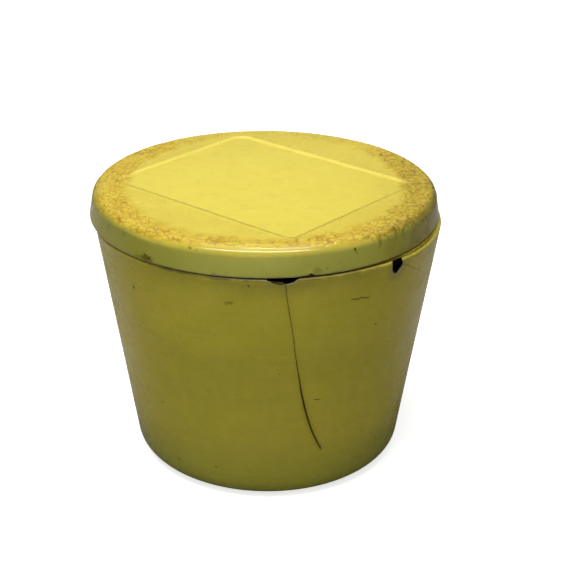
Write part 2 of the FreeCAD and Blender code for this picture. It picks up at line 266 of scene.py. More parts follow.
# ================================================================== material tools
class Shader:
    """A short way to write a node material."""

    def __init__(self, name):
        self.mat = bpy.data.materials.new(name)
        self.mat.use_nodes = True
        self.tree = self.mat.node_tree
        self.tree.nodes.clear()
        self.out = self.tree.nodes.new("ShaderNodeOutputMaterial")
        self.bsdf = self.tree.nodes.new("ShaderNodeBsdfPrincipled")
        self.tree.links.new(self.bsdf.outputs[0], self.out.inputs[0])
        co = self.tree.nodes.new("ShaderNodeTexCoord")
        # Object coordinates in millimetres.
        self.mm = self.vec("MULTIPLY", co.outputs["Object"], (1000.0, 1000.0, 1000.0))
        self._split = None

    def node(self, kind, **props):
        n = self.tree.nodes.new(kind)
        for k, v in props.items():
            setattr(n, k, v)
        return n

    def put(self, socket, value):
        if isinstance(value, bpy.types.NodeSocket):
            self.tree.links.new(value, socket)
        elif value is not None:
            socket.default_value = value

    def vec(self, op, a, b=None):
        n = self.node("ShaderNodeVectorMath", operation=op)
        self.put(n.inputs[0], a)
        if b is not None:
            self.put(n.inputs[1], b)
        return n.outputs["Value"] if op in ("LENGTH", "DISTANCE", "DOT_PRODUCT") else n.outputs[0]

    def math(self, op, a, b=None, c=None, clamp=False):
        n = self.node("ShaderNodeMath", operation=op, use_clamp=clamp)
        for i, x in enumerate((a, b, c)):
            if x is not None:
                self.put(n.inputs[i], x)
        return n.outputs[0]

    def xyz(self):
        if self._split is None:
            n = self.node("ShaderNodeSeparateXYZ")
            self.put(n.inputs[0], self.mm)
            self._split = tuple(n.outputs)
        return self._split

    def combine(self, x, y, z):
        n = self.node("ShaderNodeCombineXYZ")
        for i, v in enumerate((x, y, z)):
            self.put(n.inputs[i], v)
        return n.outputs[0]

    def noise(self, scale, detail=3.0, rough=0.5, vector=None, distortion=0.0, seed=0.0):
        """Noise whose features are about 1/scale mm."""
        v = vector if vector is not None else self.mm
        if seed:
            v = self.vec("ADD", v, (seed, seed * 1.7, -seed * 0.6))
        n = self.node("ShaderNodeTexNoise")
        self.put(n.inputs["Vector"], v)
        self.put(n.inputs["Scale"], scale)
        self.put(n.inputs["Detail"], detail)
        self.put(n.inputs["Roughness"], rough)
        self.put(n.inputs["Distortion"], distortion)
        return n.outputs["Fac"]

    def voronoi(self, scale, feature="F1", vector=None, randomness=1.0, out="Distance", seed=0.0):
        v = vector if vector is not None else self.mm
        if seed:
            v = self.vec("ADD", v, (seed, -seed * 1.3, seed * 0.4))
        n = self.node("ShaderNodeTexVoronoi", feature=feature)
        self.put(n.inputs["Vector"], v)
        self.put(n.inputs["Scale"], scale)
        self.put(n.inputs["Randomness"], randomness)
        return n.outputs[out]

    def ramp(self, x, a, b, lo=0.0, hi=1.0, smooth=True):
        """lo to hi as x goes from a to b."""
        n = self.node("ShaderNodeMapRange")
        n.interpolation_type = "SMOOTHSTEP" if smooth else "LINEAR"
        n.clamp = True
        self.put(n.inputs["Value"], x)
        for k, v in (("From Min", a), ("From Max", b), ("To Min", lo), ("To Max", hi)):
            self.put(n.inputs[k], v)
        return n.outputs[0]

    def mix(self, fac, a, b, mode="MIX"):
        n = self.node("ShaderNodeMix", data_type="RGBA", blend_type=mode)
        n.clamp_factor = True
        ins = [s for s in n.inputs if s.enabled]
        self.put(ins[0], fac)
        for s, v in ((ins[1], a), (ins[2], b)):
            self.put(s, (*v, 1.0) if isinstance(v, tuple) and len(v) == 3 else v)
        return [s for s in n.outputs if s.enabled][0]

    def attribute(self, name):
        n = self.node("ShaderNodeAttribute", attribute_type="GEOMETRY", attribute_name=name)
        return n.outputs["Fac"]

    def near(self, x, y, z, inner, outer, stretch=(1, 1, 1)):
        """1 within inner mm of a point, fading to 0 at outer mm."""
        d = self.vec("SUBTRACT", self.mm, (x, y, z))
        if stretch != (1, 1, 1):
            d = self.vec("DIVIDE", d, stretch)
        return self.ramp(self.vec("LENGTH", d), inner, outer, 1.0, 0.0)

    def bump(self, height, strength, distance_mm, normal=None):
        n = self.node("ShaderNodeBump")
        n.inputs["Strength"].default_value = strength
        n.inputs["Distance"].default_value = distance_mm * MM
        self.put(n.inputs["Height"], height)
        if normal is not None:
            self.put(n.inputs["Normal"], normal)
        return n.outputs[0]

    def finish(self, color, roughness, normal=None, specular=0.5, coat=0.0, coat_rough=0.1, ior=1.5):
        b = self.bsdf
        self.put(b.inputs["Base Color"], (*color, 1.0) if isinstance(color, tuple) else color)
        self.put(b.inputs["Roughness"], roughness)
        b.inputs["Specular IOR Level"].default_value = specular
        b.inputs["IOR"].default_value = ior
        b.inputs["Coat Weight"].default_value = coat
        b.inputs["Coat Roughness"].default_value = coat_rough
        if normal is not None:
            self.put(b.inputs["Normal"], normal)
        return self.mat


def spot(sh, ragged, place, size, stretch=(1, 1, 1)):
    """A small irregular mark, size in mm: 1 inside, 0 outside."""
    d = sh.vec("SUBTRACT", sh.mm, place)
    if stretch != (1, 1, 1):
        d = sh.vec("DIVIDE", d, stretch)
    d = sh.math("ADD", sh.vec("LENGTH", d), sh.math("MULTIPLY", sh.math("SUBTRACT", ragged, 0.5), size * 2.2))
    return sh.ramp(d, size * 0.55, size * 1.15, 1.0, 0.0)


def at(azimuth, z, lift=0.0):
    """A point on the jar's outer wall, in mm."""
    a = math.radians(azimuth)
    r = wall_r(z) + lift - float(rim_pull(azimuth, z))
    return (r * math.cos(a), r * math.sin(a), z)


def curve(sh, x, points, x0, x1, y0, y1):
    """A value read off a smooth curve through points (x, y)."""
    n = sh.node("ShaderNodeFloatCurve")
    c = n.mapping.curves[0]
    scaled = [((px - x0) / (x1 - x0), (py - y0) / (y1 - y0)) for px, py in points]
    c.points[0].location, c.points[1].location = scaled[0], scaled[-1]
    for q in scaled[1:-1]:
        c.points.new(*q)
    n.mapping.update()
    n.inputs["Factor"].default_value = 1.0
    sh.put(n.inputs["Value"], sh.ramp(x, x0, x1, 0.0, 1.0, smooth=False))
    return sh.math("ADD", sh.math("MULTIPLY", n.outputs[0], y1 - y0), y0)


def on_band(azimuth, z):
    """A point on the outside of the lid's shoulder or band, in mm."""
    a = math.radians(azimuth)
    if z > SHOULDER_Z:
        r = BAND_R - SHOULDER + math.sqrt(max(0.0, SHOULDER ** 2 - (z - SHOULDER_Z) ** 2))
    else:
        r = BAND_R + (LID_R - BAND_R) * max(0.0, (WAIST - z) / (WAIST - LID_LOW))
    return (LID_X + r * math.cos(a), LID_Y + r * math.sin(a), z)


def most(sh, *values):
    out = values[0]
    for v in values[1:]:
        out = sh.math("MAXIMUM", out, v)
    return out


def shell_material():
    sh = Shader("aged_plastic_shell")
    x, y, z = sh.xyz()
    # broad cloudy colour of old pressed sheet
    cloud = sh.noise(0.035, 3.0, 0.55, seed=11.0)
    small = sh.noise(0.16, 4.0, 0.6, seed=4.0)
    ragged = sh.noise(0.9, 3.0, 0.65, seed=14.0)
    # faint upright streaks that follow the wall
    streak = sh.noise(0.25, 3.0, 0.6, vector=sh.combine(x, y, sh.math("MULTIPLY", z, 0.12)), seed=7.0)
    base = sh.mix(sh.ramp(cloud, 0.35, 0.68), (0.665, 0.575, 0.040), (0.745, 0.620, 0.052))
    base = sh.mix(sh.ramp(small, 0.42, 0.72, 0.0, 0.30), base, (0.60, 0.52, 0.045))
    base = sh.mix(sh.ramp(streak, 0.45, 0.75, 0.0, 0.25), base, (0.79, 0.67, 0.080))
    # fine streaks that run round it
    level = sh.noise(0.55, 3.0, 0.6, vector=sh.combine(sh.math("MULTIPLY", x, 0.10), sh.math("MULTIPLY", y, 0.10), z), seed=37.0)
    base = sh.mix(sh.ramp(level, 0.50, 0.74, 0.0, 0.30), base, (0.52, 0.46, 0.030))
    # painted shade and painted reflection: darker, greener and greyer towards the bottom and darker at the lower sides,
    # where the dark floor shades the wall and is reflected in it
    low_wall_shade = sh.math("MULTIPLY", sh.ramp(z, 26.0, 3.0), sh.ramp(cloud, 0.3, 0.6, 0.6, 1.0))
    base = sh.mix(sh.math("MULTIPLY", low_wall_shade, 0.62), base, (0.45, 0.455, 0.048))
    base = sh.mix(sh.ramp(z, 10.0, 1.0, 0.0, 0.55), base, (0.31, 0.325, 0.035))
    low_side_shade = sh.math("MULTIPLY", sh.ramp(sh.math("ABSOLUTE", x), 10.0, 38.0), sh.ramp(z, 22.0, 3.0))
    base = sh.mix(sh.math("MULTIPLY", low_side_shade, 0.50), base, (0.27, 0.29, 0.050))
    # browner and darker towards both sides
    base = sh.mix(sh.ramp(sh.math("ABSOLUTE", x), 14.0, 46.0, 0.0, 0.30), base, (0.46, 0.355, 0.012))
    # dirt drawn along the crack
    round_ = sh.math("MULTIPLY", sh.math("ARCTAN2", y, x), 180.0 / math.pi)
    line = curve(sh, z, sorted((q, a) for a, q in CRACK), 10.0, 80.0, -90.0, -60.0)
    off = sh.math("ABSOLUTE", sh.math("MULTIPLY", sh.math("SUBTRACT", round_, line), 0.84))
    tall = sh.math("MULTIPLY", sh.ramp(z, 15.6, 17.2), sh.ramp(z, 75.0, 74.0))
    reach = sh.math("MULTIPLY", tall, sh.ramp(z, 52.0, 34.0, 0.42, 1.0))
    close = sh.math("MULTIPLY", sh.ramp(sh.math("DIVIDE", off, sh.ramp(z, 52.0, 34.0, 0.30, 0.60)), 0.25, 1.0, 1.0, 0.0), reach)
    wide = sh.math("MULTIPLY", sh.ramp(off, 0.2, 2.2, 1.0, 0.0), sh.math("MULTIPLY", tall, sh.ramp(z, 46.0, 28.0, 0.10, 0.36)))
    base = sh.mix(wide, base, (0.36, 0.285, 0.004))
    base = sh.mix(sh.math("MULTIPLY", close, 0.80), base, (0.120, 0.085, 0.0))
    # a darker, patchy band just under the rim, and grime round the broken places
    rim = sh.math("MULTIPLY", sh.ramp(z, 68.0, 73.2), sh.ramp(small, 0.35, 0.65, 0.15, 1.0))
    base = sh.mix(sh.math("MULTIPLY", rim, 0.30), base, (0.46, 0.40, 0.05))
    chip = most(
        sh,
        sh.near(*at(-83.6, 72.6, -1.8), 1.8, 5.6, (1.5, 1.5, 0.8)),
        sh.near(*at(-44.0, 71.4, -0.7), 2.2, 4.6),
    )
    base = sh.mix(sh.math("MULTIPLY", chip, sh.ramp(small, 0.3, 0.7, 0.15, 0.60)), base, (0.38, 0.31, 0.09))
    # painted shadow: a thin dark line on the rim where the lid's edge rests, only in front, stands in for the shadow in
    # the gap under the lid; the rest of the rim top is lightly stained
    pulled = curve(sh, round_, RIM_PULL, -180.0, 180.0, 0.0, 2.0)
    across = sh.math("ADD", sh.math("ADD", sh.vec("LENGTH", sh.combine(x, y, 0.0)), pulled), sh.math("MULTIPLY", sh.math("SUBTRACT", ragged, 0.5), 0.5))
    top = sh.ramp(z, 74.05, 74.25)
    seat = sh.math("MULTIPLY", sh.ramp(across, 50.95, 50.55), sh.ramp(across, 49.75, 50.15))
    ahead = sh.ramp(y, -8.0, -24.0)
    gap_shadow = sh.math("MULTIPLY", top, sh.math("MULTIPLY", seat, ahead))
    base = sh.mix(sh.math("MULTIPLY", top, sh.ramp(small, 0.35, 0.70, 0.05, 0.42)), base, (0.36, 0.275, 0.020))
    # painted shadow in the gap under the lid's edge
    base = sh.mix(sh.math("MULTIPLY", gap_shadow, 0.88), base, (0.080, 0.050, 0.0))
    # painted shade: the rim's rounding in front, where it is drawn in under the lid's edge, is darkened
    hidden = sh.math("MULTIPLY", sh.ramp(z, 73.4, 73.8), sh.ramp(pulled, 0.6, 1.6))
    base = sh.mix(sh.math("MULTIPLY", hidden, sh.ramp(small, 0.35, 0.62, 0.35, 0.80)), base, (0.24, 0.19, 0.03))
    # dark spots and smears: azimuth, height, size, amount, stretch
    marks = [
        (-137.96, 64.4, 0.42, 0.75, (0.7, 0.7, 1.5)), (-95.0, 72.4, 0.22, 0.8, (1, 1, 1)),
        (-101.0, 66.9, 0.62, 0.42, (1.6, 1.6, 0.8)), (-102.3, 66.5, 0.50, 0.30, (1.2, 1.2, 1.2)), (-138.3, 52.1, 0.22, 0.6, (1, 1, 1)),
        (-85.1, 44.7, 0.16, 0.55, (1, 1, 1)), (-132.3, 27.5, 0.18, 0.6, (1, 1, 1)),
        (-128.4, 8.1, 0.30, 0.55, (1.6, 1.6, 0.7)), (-110.0, 9.8, 0.30, 0.5, (1.5, 1.5, 0.7)),
        (-50.8, 55.9, 0.20, 0.85, (1, 1, 1)), (-71.1, 34.8, 0.55, 0.75, (1.9, 1.9, 0.32)),
        (-120.0, 40.0, 0.16, 0.4, (1, 1, 1)), (-62.0, 22.0, 0.18, 0.4, (1, 1, 1)),
        (-20.0, 50.0, 0.30, 0.5, (1.4, 1.4, 0.7)), (25.0, 33.0, 0.35, 0.5, (1, 1, 1)),
        (80.0, 58.0, 0.50, 0.5, (1.5, 1.5, 0.6)), (120.0, 22.0, 0.35, 0.5, (1, 1, 1)),
        (160.0, 47.0, 0.30, 0.5, (1, 1, 1.4)), (-170.0, 12.0, 0.35, 0.5, (1, 1, 1)),
    ]
    for azimuth, height, size, amount, stretch in marks:
        base = sh.mix(sh.math("MULTIPLY", spot(sh, ragged, at(azimuth, height), size if size > 0.45 else size * 1.6, stretch), min(1.0, amount * 1.25)), base, (0.115, 0.095, 0.0))
    # thin scratches and a hairline that runs from the right chip: points in azimuth and height, width
    lines = [
        ([(-41.2, 72.4), (-39.4, 71.56), (-36.84, 69.97), (-34.2, 68.8), (-30.9, 67.55)], 0.085, 0.80, (0.15, 0.10, 0.0)),
        ([(-61.3, 65.9), (-59.4, 65.55), (-57.6, 65.75), (-56.2, 65.35), (-54.9, 65.2)], 0.17, 0.85, (0.16, 0.115, 0.0)),
    ]
    wobble = sh.math("MULTIPLY", sh.math("SUBTRACT", ragged, 0.5), 0.16)
    for points, width, amount, tint in lines:
        nearest = None
        for (a0, z0), (a1, z1) in zip(points, points[1:]):
            p, q = Vector(at(a0, z0, 0.02)), Vector(at(a1, z1, 0.02))
            run_ = q - p
            rel = sh.vec("SUBTRACT", sh.mm, tuple(p))
            t = sh.math("DIVIDE", sh.vec("DOT_PRODUCT", rel, tuple(run_)), run_.length_squared, clamp=True)
            foot = sh.node("ShaderNodeVectorMath", operation="SCALE")
            foot.inputs[0].default_value = tuple(run_)
            sh.put(foot.inputs["Scale"], t)
            d = sh.vec("LENGTH", sh.vec("SUBTRACT", rel, foot.outputs[0]))
            nearest = d if nearest is None else sh.math("MINIMUM", nearest, d)
        nearest = sh.math("ADD", nearest, wobble)
        base = sh.mix(sh.math("MULTIPLY", sh.ramp(nearest, width * 0.5, width * 2.0, 1.0, 0.0), amount), base, tint)
    # tiny scattered specks
    speck = sh.voronoi(0.30, seed=3.0)
    bright = sh.node("ShaderNodeSeparateColor")
    sh.put(bright.inputs[0], sh.voronoi(0.30, seed=3.0, out="Color"))
    limit = sh.ramp(bright.outputs[0], 0.72, 1.0, 0.0, 0.060, smooth=False)
    dot = sh.ramp(sh.math("SUBTRACT", limit, speck), -0.012, 0.012)
    base = sh.mix(sh.math("MULTIPLY", dot, 0.50), base, (0.19, 0.14, 0.03))
    # gloss: polished, with rubbed patches and very fine scratches
    hair = sh.noise(2.2, 2.0, 0.5, vector=sh.combine(sh.math("MULTIPLY", x, 0.12), sh.math("MULTIPLY", y, 0.12), z), seed=2.0)
    rub = sh.noise(0.09, 4.0, 0.6, seed=21.0)
    rough = sh.ramp(rub, 0.3, 0.75, 0.20, 0.36)
    rough = sh.math("ADD", rough, sh.ramp(hair, 0.60, 0.75, 0.0, 0.10))
    wavy = sh.noise(0.06, 2.0, 0.5, seed=31.0)
    n1 = sh.bump(wavy, 0.55, 0.35)
    n2 = sh.bump(hair, 0.10, 0.02, n1)
    n3 = sh.bump(sh.noise(1.3, 3.0, 0.6, seed=5.0), 0.12, 0.02, n2)
    return sh.finish(base, rough, n3, specular=0.5)


def lid_material():
    sh = Shader("aged_plastic_lid")
    x, y, z = sh.xyz()
    cloud = sh.noise(0.045, 4.0, 0.6, seed=17.0)
    small = sh.noise(0.22, 4.0, 0.6, seed=9.0)
    ragged = sh.noise(0.9, 3.0, 0.65, seed=24.0)
    grain = sh.noise(0.9, 4.0, 0.7, vector=sh.combine(sh.math("MULTIPLY", x, 0.5), y, z), seed=13.0)
    inside = sh.attribute("panel")
    craze = sh.attribute("craze")
    zone = sh.attribute("craze_zone")
    tone = sh.attribute("cell_tone")
    fold = sh.attribute("fold")
    far = sh.vec("LENGTH", sh.combine(sh.math("ADD", x, 6.0), sh.math("ADD", y, 4.0), 0.0))
    base = sh.mix(inside, (0.735, 0.590, 0.060), (0.835, 0.695, 0.078))
    base = sh.mix(sh.ramp(cloud, 0.40, 0.66, 0.0, 0.45), base, (0.855, 0.725, 0.092))
    base = sh.mix(sh.ramp(far, 18.0, 48.0, 0.0, 0.30), base, (0.700, 0.550, 0.052))
    base = sh.mix(sh.ramp(small, 0.46, 0.74, 0.0, 0.34), base, (0.68, 0.54, 0.050))
    base = sh.mix(sh.ramp(grain, 0.52, 0.76, 0.0, 0.30), base, (0.62, 0.49, 0.050))
    # dirt and painted shade in the bevel along the panel's two front edges
    groove = sh.attribute("groove")
    base = sh.mix(sh.math("MULTIPLY", groove, 0.80), base, (0.30, 0.205, 0.0))
    # painted highlight along the panel's two back edges
    base = sh.mix(sh.math("MULTIPLY", sh.attribute("ridge"), 0.42), base, (1.0, 0.92, 0.19))
    # warm, browner crazed ring, darker to the right
    right = sh.math("MULTIPLY", sh.ramp(x, 20.0, 46.0), sh.ramp(y, 44.0, 20.0))
    base = sh.mix(sh.math("MULTIPLY", zone, 0.60), base, (0.690, 0.445, 0.004))
    base = sh.mix(sh.math("MULTIPLY", zone, sh.ramp(tone, 0.35, 1.0, 0.0, 0.55)), base, (0.80, 0.640, 0.060))
    base = sh.mix(sh.math("MULTIPLY", sh.math("MULTIPLY", zone, sh.ramp(small, 0.42, 0.66)), 0.45), base, (0.50, 0.300, 0.0))
    base = sh.mix(sh.math("MULTIPLY", craze, sh.ramp(right, 0.0, 1.0, 0.80, 0.95)), base, sh.mix(right, (0.27, 0.125, 0.0), (0.085, 0.048, 0.0)))
    base = sh.mix(sh.math("MULTIPLY", right, sh.ramp(zone, 0.0, 1.0, 0.10, 0.35)), base, (0.38, 0.27, 0.0))
    # greener band below the shoulder
    wide = sh.ramp(sh.math("ABSOLUTE", x), 22.0, 50.0, 0.0, 1.1)
    edge = sh.ramp(sh.math("SUBTRACT", sh.math("ADD", z, sh.math("MULTIPLY", sh.math("SUBTRACT", small, 0.5), 2.2)), wide), 81.9, 79.4)
    green = sh.mix(sh.ramp(cloud, 0.35, 0.68), (0.530, 0.525, 0.092), (0.620, 0.605, 0.115))
    green = sh.mix(sh.ramp(small, 0.45, 0.72, 0.0, 0.35), green, (0.45, 0.44, 0.070))
    green = sh.mix(sh.ramp(z, 79.5, 75.4, 0.0, 0.42), green, (0.44, 0.44, 0.075))
    green = sh.mix(sh.ramp(x, 14.0, 46.0, 0.0, 0.62), green, (0.38, 0.32, 0.030))
    green = sh.mix(sh.ramp(x, -6.0, -44.0, 0.0, 0.88), green, (0.315, 0.295, 0.030))
    base = sh.mix(edge, base, green)
    # the right shoulder is stained
    stain = sh.math("MULTIPLY", sh.ramp(x, 26.0, 47.0), sh.math("MULTIPLY", sh.ramp(z, 83.1, 81.6), sh.ramp(y, 12.0, -6.0)))
    base = sh.mix(sh.math("MULTIPLY", stain, sh.ramp(small, 0.35, 0.65, 0.55, 0.95)), base, (0.200, 0.150, 0.0))
    # wrinkles hold dark dirt
    dirt = sh.math("MULTIPLY", fold, sh.ramp(ragged, 0.30, 0.65, 0.45, 1.0))
    base = sh.mix(sh.math("MULTIPLY", dirt, 0.72, clamp=True), base, (0.13, 0.095, 0.0))
    marks = [
        (-126.9, 75.9, 1.35, 0.85, (1.7, 1.7, 0.8), (0.13, 0.085, 0.0)), (-126.0, 76.0, 0.60, 0.70, (1.2, 1.2, 0.8), (0.09, 0.06, 0.008)),
        (-130.5, 75.6, 0.70, 0.50, (2.0, 2.0, 0.7), (0.20, 0.14, 0.02)),
        (-60.5, 80.2, 0.42, 0.98, (0.7, 0.7, 1.6), (0.035, 0.03, 0.0)), (-60.2, 79.2, 0.45, 0.55, (0.8, 0.8, 1.3), (0.16, 0.14, 0.0)),
        (-112.0, 81.3, 0.55, 0.60, (1, 1, 0.8), (0.16, 0.13, 0.02)), (-109.5, 81.0, 0.35, 0.45, (1, 1, 0.8), (0.16, 0.13, 0.02)),
        (-83.0, 78.4, 0.22, 0.50, (1, 1, 1), (0.16, 0.14, 0.02)), (-70.0, 76.4, 0.30, 0.50, (1.3, 1.3, 1), (0.16, 0.15, 0.02)),
        (-100.0, 76.0, 0.26, 0.45, (1, 1, 1), (0.16, 0.14, 0.02)), (-104.0, 75.4, 0.40, 0.40, (1.8, 1.8, 0.6), (0.20, 0.14, 0.02)),
        (-73.2, 76.2, 1.1, 0.45, (1.5, 1.5, 0.8), (0.20, 0.20, 0.03)), (-66.0, 77.5, 0.35, 0.4, (1, 1, 1), (0.16, 0.14, 0.02)),
        (-147.0, 79.6, 0.9, 0.45, (1, 1, 1.3), (0.18, 0.16, 0.02)), (-158.0, 80.4, 0.8, 0.45, (1, 1, 1.3), (0.18, 0.16, 0.02)),
        (-138.0, 79.8, 0.7, 0.35, (1, 1, 1.3), (0.18, 0.16, 0.02)),
        (150.0, 77.5, 0.8, 0.4, (1, 1, 0.8), (0.24, 0.20, 0.03)), (60.0, 78.5, 0.9, 0.4, (1, 1, 0.8), (0.24, 0.20, 0.03)),
    ]
    for azimuth, height, size, amount, stretch, tint in marks:
        base = sh.mix(sh.math("MULTIPLY", spot(sh, ragged, on_band(azimuth, height), size, stretch), amount), base, tint)
    # painted highlight: a paler line along the lower edge, where the rounded edge catches the light; grime in places
    # above it
    base = sh.mix(sh.ramp(z, 75.25, 74.95, 0.0, 0.45), base, (0.66, 0.60, 0.34))
    hem = sh.math("MULTIPLY", sh.ramp(z, 76.0, 75.0), sh.ramp(small, 0.45, 0.72))
    base = sh.mix(sh.math("MULTIPLY", hem, 0.45), base, (0.30, 0.24, 0.06))
    speck = sh.voronoi(0.26, seed=23.0)
    pick = sh.node("ShaderNodeSeparateColor")
    sh.put(pick.inputs[0], sh.voronoi(0.26, seed=23.0, out="Color"))
    limit = sh.ramp(pick.outputs[0], 0.72, 1.0, 0.0, 0.065, smooth=False)
    dot = sh.ramp(sh.math("SUBTRACT", limit, speck), -0.012, 0.012)
    base = sh.mix(sh.math("MULTIPLY", dot, 0.5), base, (0.27, 0.17, 0.03))
    rub = sh.noise(0.10, 4.0, 0.6, seed=41.0)
    rough = sh.math("ADD", sh.math("ADD", sh.ramp(rub, 0.3, 0.75, 0.22, 0.36), sh.math("MULTIPLY", zone, 0.02)), sh.math("MULTIPLY", groove, 0.35))
    gloss = sh.ramp(rub, 0.3, 0.75, 0.10, 0.17)
    on_top = sh.math("MAXIMUM", sh.ramp(z, 82.4, 82.95), sh.math("MULTIPLY", zone, 1.6, clamp=True))
    rough = sh.math("ADD", sh.math("MULTIPLY", rough, on_top), sh.math("MULTIPLY", gloss, sh.math("SUBTRACT", 1.0, on_top)))
    n1 = sh.bump(sh.noise(0.07, 2.0, 0.5, seed=51.0), 0.5, 0.30)
    n2 = sh.bump(grain, 0.18, 0.03, n1)
    n3 = sh.bump(sh.noise(1.6, 3.0, 0.6, seed=6.0), 0.10, 0.02, n2)
    n4 = sh.bump(sh.math("SUBTRACT", 1.0, craze), 0.6, 0.05, n3)
    return sh.finish(base, rough, n4, specular=0.5)


def dark_material(name, dark, light, specular):
    """Near-black faces: painted shade on the hidden faces seen through the broken places and on the chips' broken
    faces; also the old fracture faces of the crack.
    """
    sh = Shader(name)
    grain = sh.noise(1.1, 4.0, 0.65, seed=3.0)
    base = sh.mix(sh.ramp(grain, 0.4, 0.75), dark, light)
    return sh.finish(base, sh.ramp(grain, 0.3, 0.7, 0.55, 0.85), sh.bump(grain, 0.5, 0.15), specular=specular)


def flake_material():
    sh = Shader("fracture_flake")
    grain = sh.noise(1.4, 4.0, 0.6, seed=8.0)
    x, y, z = sh.xyz()
    base = sh.mix(sh.ramp(grain, 0.35, 0.7), (0.060, 0.060, 0.008), (0.13, 0.125, 0.02))
    pale = sh.math("MULTIPLY", sh.ramp(x, 2.0, 4.6), sh.ramp(z, 72.95, 73.3))
    base = sh.mix(sh.math("MULTIPLY", pale, 0.8), base, (0.27, 0.245, 0.13))
    return sh.finish(base, sh.ramp(grain, 0.3, 0.7, 0.4, 0.65), sh.bump(grain, 0.5, 0.10), specular=0.35)


def edge_material():
    sh = Shader("fracture_edge")
    grain = sh.noise(1.8, 3.0, 0.6, seed=18.0)
    base = sh.mix(sh.ramp(grain, 0.35, 0.7), (0.30, 0.26, 0.13), (0.58, 0.54, 0.38))
    return sh.finish(base, sh.ramp(grain, 0.3, 0.7, 0.4, 0.6), sh.bump(grain, 0.5, 0.08), specular=0.4)


def lining_material(name, tint=(0.66, 0.55, 0.17), powder=0.0, low=0.0, high=1.0):
    """Satin unpolished inner faces, with old powder caught in the corner."""
    sh = Shader(name)
    x, y, z = sh.xyz()
    cloud = sh.noise(0.05, 4.0, 0.6, seed=19.0)
    small = sh.noise(0.35, 4.0, 0.6, seed=29.0)
    dark = tuple(c * 0.80 for c in tint)
    base = sh.mix(sh.ramp(cloud, 0.35, 0.7), dark, tint)
    base = sh.mix(sh.ramp(small, 0.55, 0.75, 0.0, 0.3), base, tuple(c * 0.6 for c in tint))
    if powder:
        lie = sh.math("ADD", z, sh.math("MULTIPLY", sh.math("SUBTRACT", cloud, 0.5), 16.0))
        dust = sh.math("MULTIPLY", sh.ramp(lie, high, low), sh.ramp(small, 0.30, 0.60, 0.45, 1.0))
        base = sh.mix(sh.math("MULTIPLY", dust, powder), base, (0.78, 0.66, 0.52))
        rough = sh.math("ADD", sh.ramp(cloud, 0.3, 0.7, 0.38, 0.52), sh.math("MULTIPLY", dust, 0.35))
    else:
        rough = sh.ramp(cloud, 0.3, 0.7, 0.36, 0.55)
    ring = sh.noise(0.9, 3.0, 0.6, seed=39.0)
    return sh.finish(base, rough, sh.bump(ring, 0.25, 0.06), specular=0.45)


def base_material():
    sh = Shader("aged_plastic_base")
    x, y, z = sh.xyz()
    cloud = sh.noise(0.06, 4.0, 0.6, seed=49.0)
    fine = sh.noise(0.7, 4.0, 0.65, seed=59.0)
    r = sh.vec("LENGTH", sh.combine(x, y, 0.0))
    base = sh.mix(sh.ramp(cloud, 0.35, 0.7), (0.52, 0.43, 0.070), (0.64, 0.53, 0.095))
    # rubbed, dirtier towards the edge that touches the table
    base = sh.mix(sh.math("MULTIPLY", sh.ramp(r, 24.0, 33.5), sh.ramp(fine, 0.35, 0.7, 0.1, 0.6)), base, (0.22, 0.17, 0.05))
    scratch = sh.noise(0.8, 2.0, 0.5, vector=sh.combine(sh.math("MULTIPLY", x, 0.05), y, 0.0), seed=5.0)
    scratch2 = sh.noise(0.8, 2.0, 0.5, vector=sh.combine(x, sh.math("MULTIPLY", y, 0.07), 0.0), seed=15.0)
    lines = most(sh, sh.ramp(scratch, 0.66, 0.72), sh.ramp(scratch2, 0.67, 0.73))
    base = sh.mix(sh.math("MULTIPLY", lines, 0.35), base, (0.78, 0.70, 0.36))
    rough = sh.math("ADD", sh.ramp(cloud, 0.3, 0.7, 0.38, 0.55), sh.math("MULTIPLY", lines, 0.15))
    return sh.finish(base, rough, sh.bump(sh.math("SUBTRACT", fine, sh.math("MULTIPLY", lines, 0.6)), 0.3, 0.05), specular=0.45)


PLASTIC = shell_material()
LID = lid_material()
# painted shade: near-black for the hidden void seen through the chips and for the chips' broken faces
DARK = dark_material("void_painted_shade", (0.006, 0.005, 0.004), (0.025, 0.018, 0.010), 0.08)
BREAK = dark_material("fracture_dark", (0.0025, 0.002, 0.002), (0.012, 0.009, 0.006), 0.05)
CRACKED = dark_material("crack_wall", (0.055, 0.038, 0.0), (0.100, 0.070, 0.002), 0.05)
FLAKE = flake_material()
EDGE = edge_material()
BOWL = lining_material("bowl_satin", (0.68, 0.57, 0.17), powder=0.55, low=6.0, high=26.0)
LINING = lining_material("lid_lining_satin", (0.66, 0.55, 0.16))
BASE = base_material()


# ================================================================== the broken places, shared by shell and bowl
CRACK_WIDTH = [  # height, opening in mm
    (76.0, 0.16), (70.0, 0.12), (60.0, 0.13), (52.0, 0.15), (46.0, 0.18), (40.0, 0.21),
    (33.0, 0.24), (26.0, 0.24), (21.0, 0.20), (18.0, 0.13), (16.0, 0.03),
]


def crack_line():
    """The crack as (azimuth in degrees, height, opening), finely stepped and a little ragged."""
    pts = []
    for (a0, z0), (a1, z1) in zip(CRACK, CRACK[1:]):
        n = max(1, int(abs(z1 - z0) / 0.8))
        for i in range(n):
            t = i / n
            pts.append((a0 + (a1 - a0) * t, z0 + (z1 - z0) * t))
    pts.append(CRACK[-1])
    hs = [h for h, _ in CRACK_WIDTH][::-1]
    ws = [w for _, w in CRACK_WIDTH][::-1]
    out = []
    for a, z in pts:
        fade = step01(z, 16.0, 20.0)
        jag = (0.10 * wave(0, 0, z, 1.7, 3.0) + 0.16 * wave(0, 0, z, 5.0, 8.0)) * fade
        out.append((a + math.degrees(jag / wall_r(z)), z, float(np.interp(z, hs, ws))))
    return out


CRACK_PTS = crack_line()
CRACK_ZS = np.array([p[1] for p in CRACK_PTS])[::-1]
CRACK_AS = np.array([p[0] for p in CRACK_PTS])[::-1]


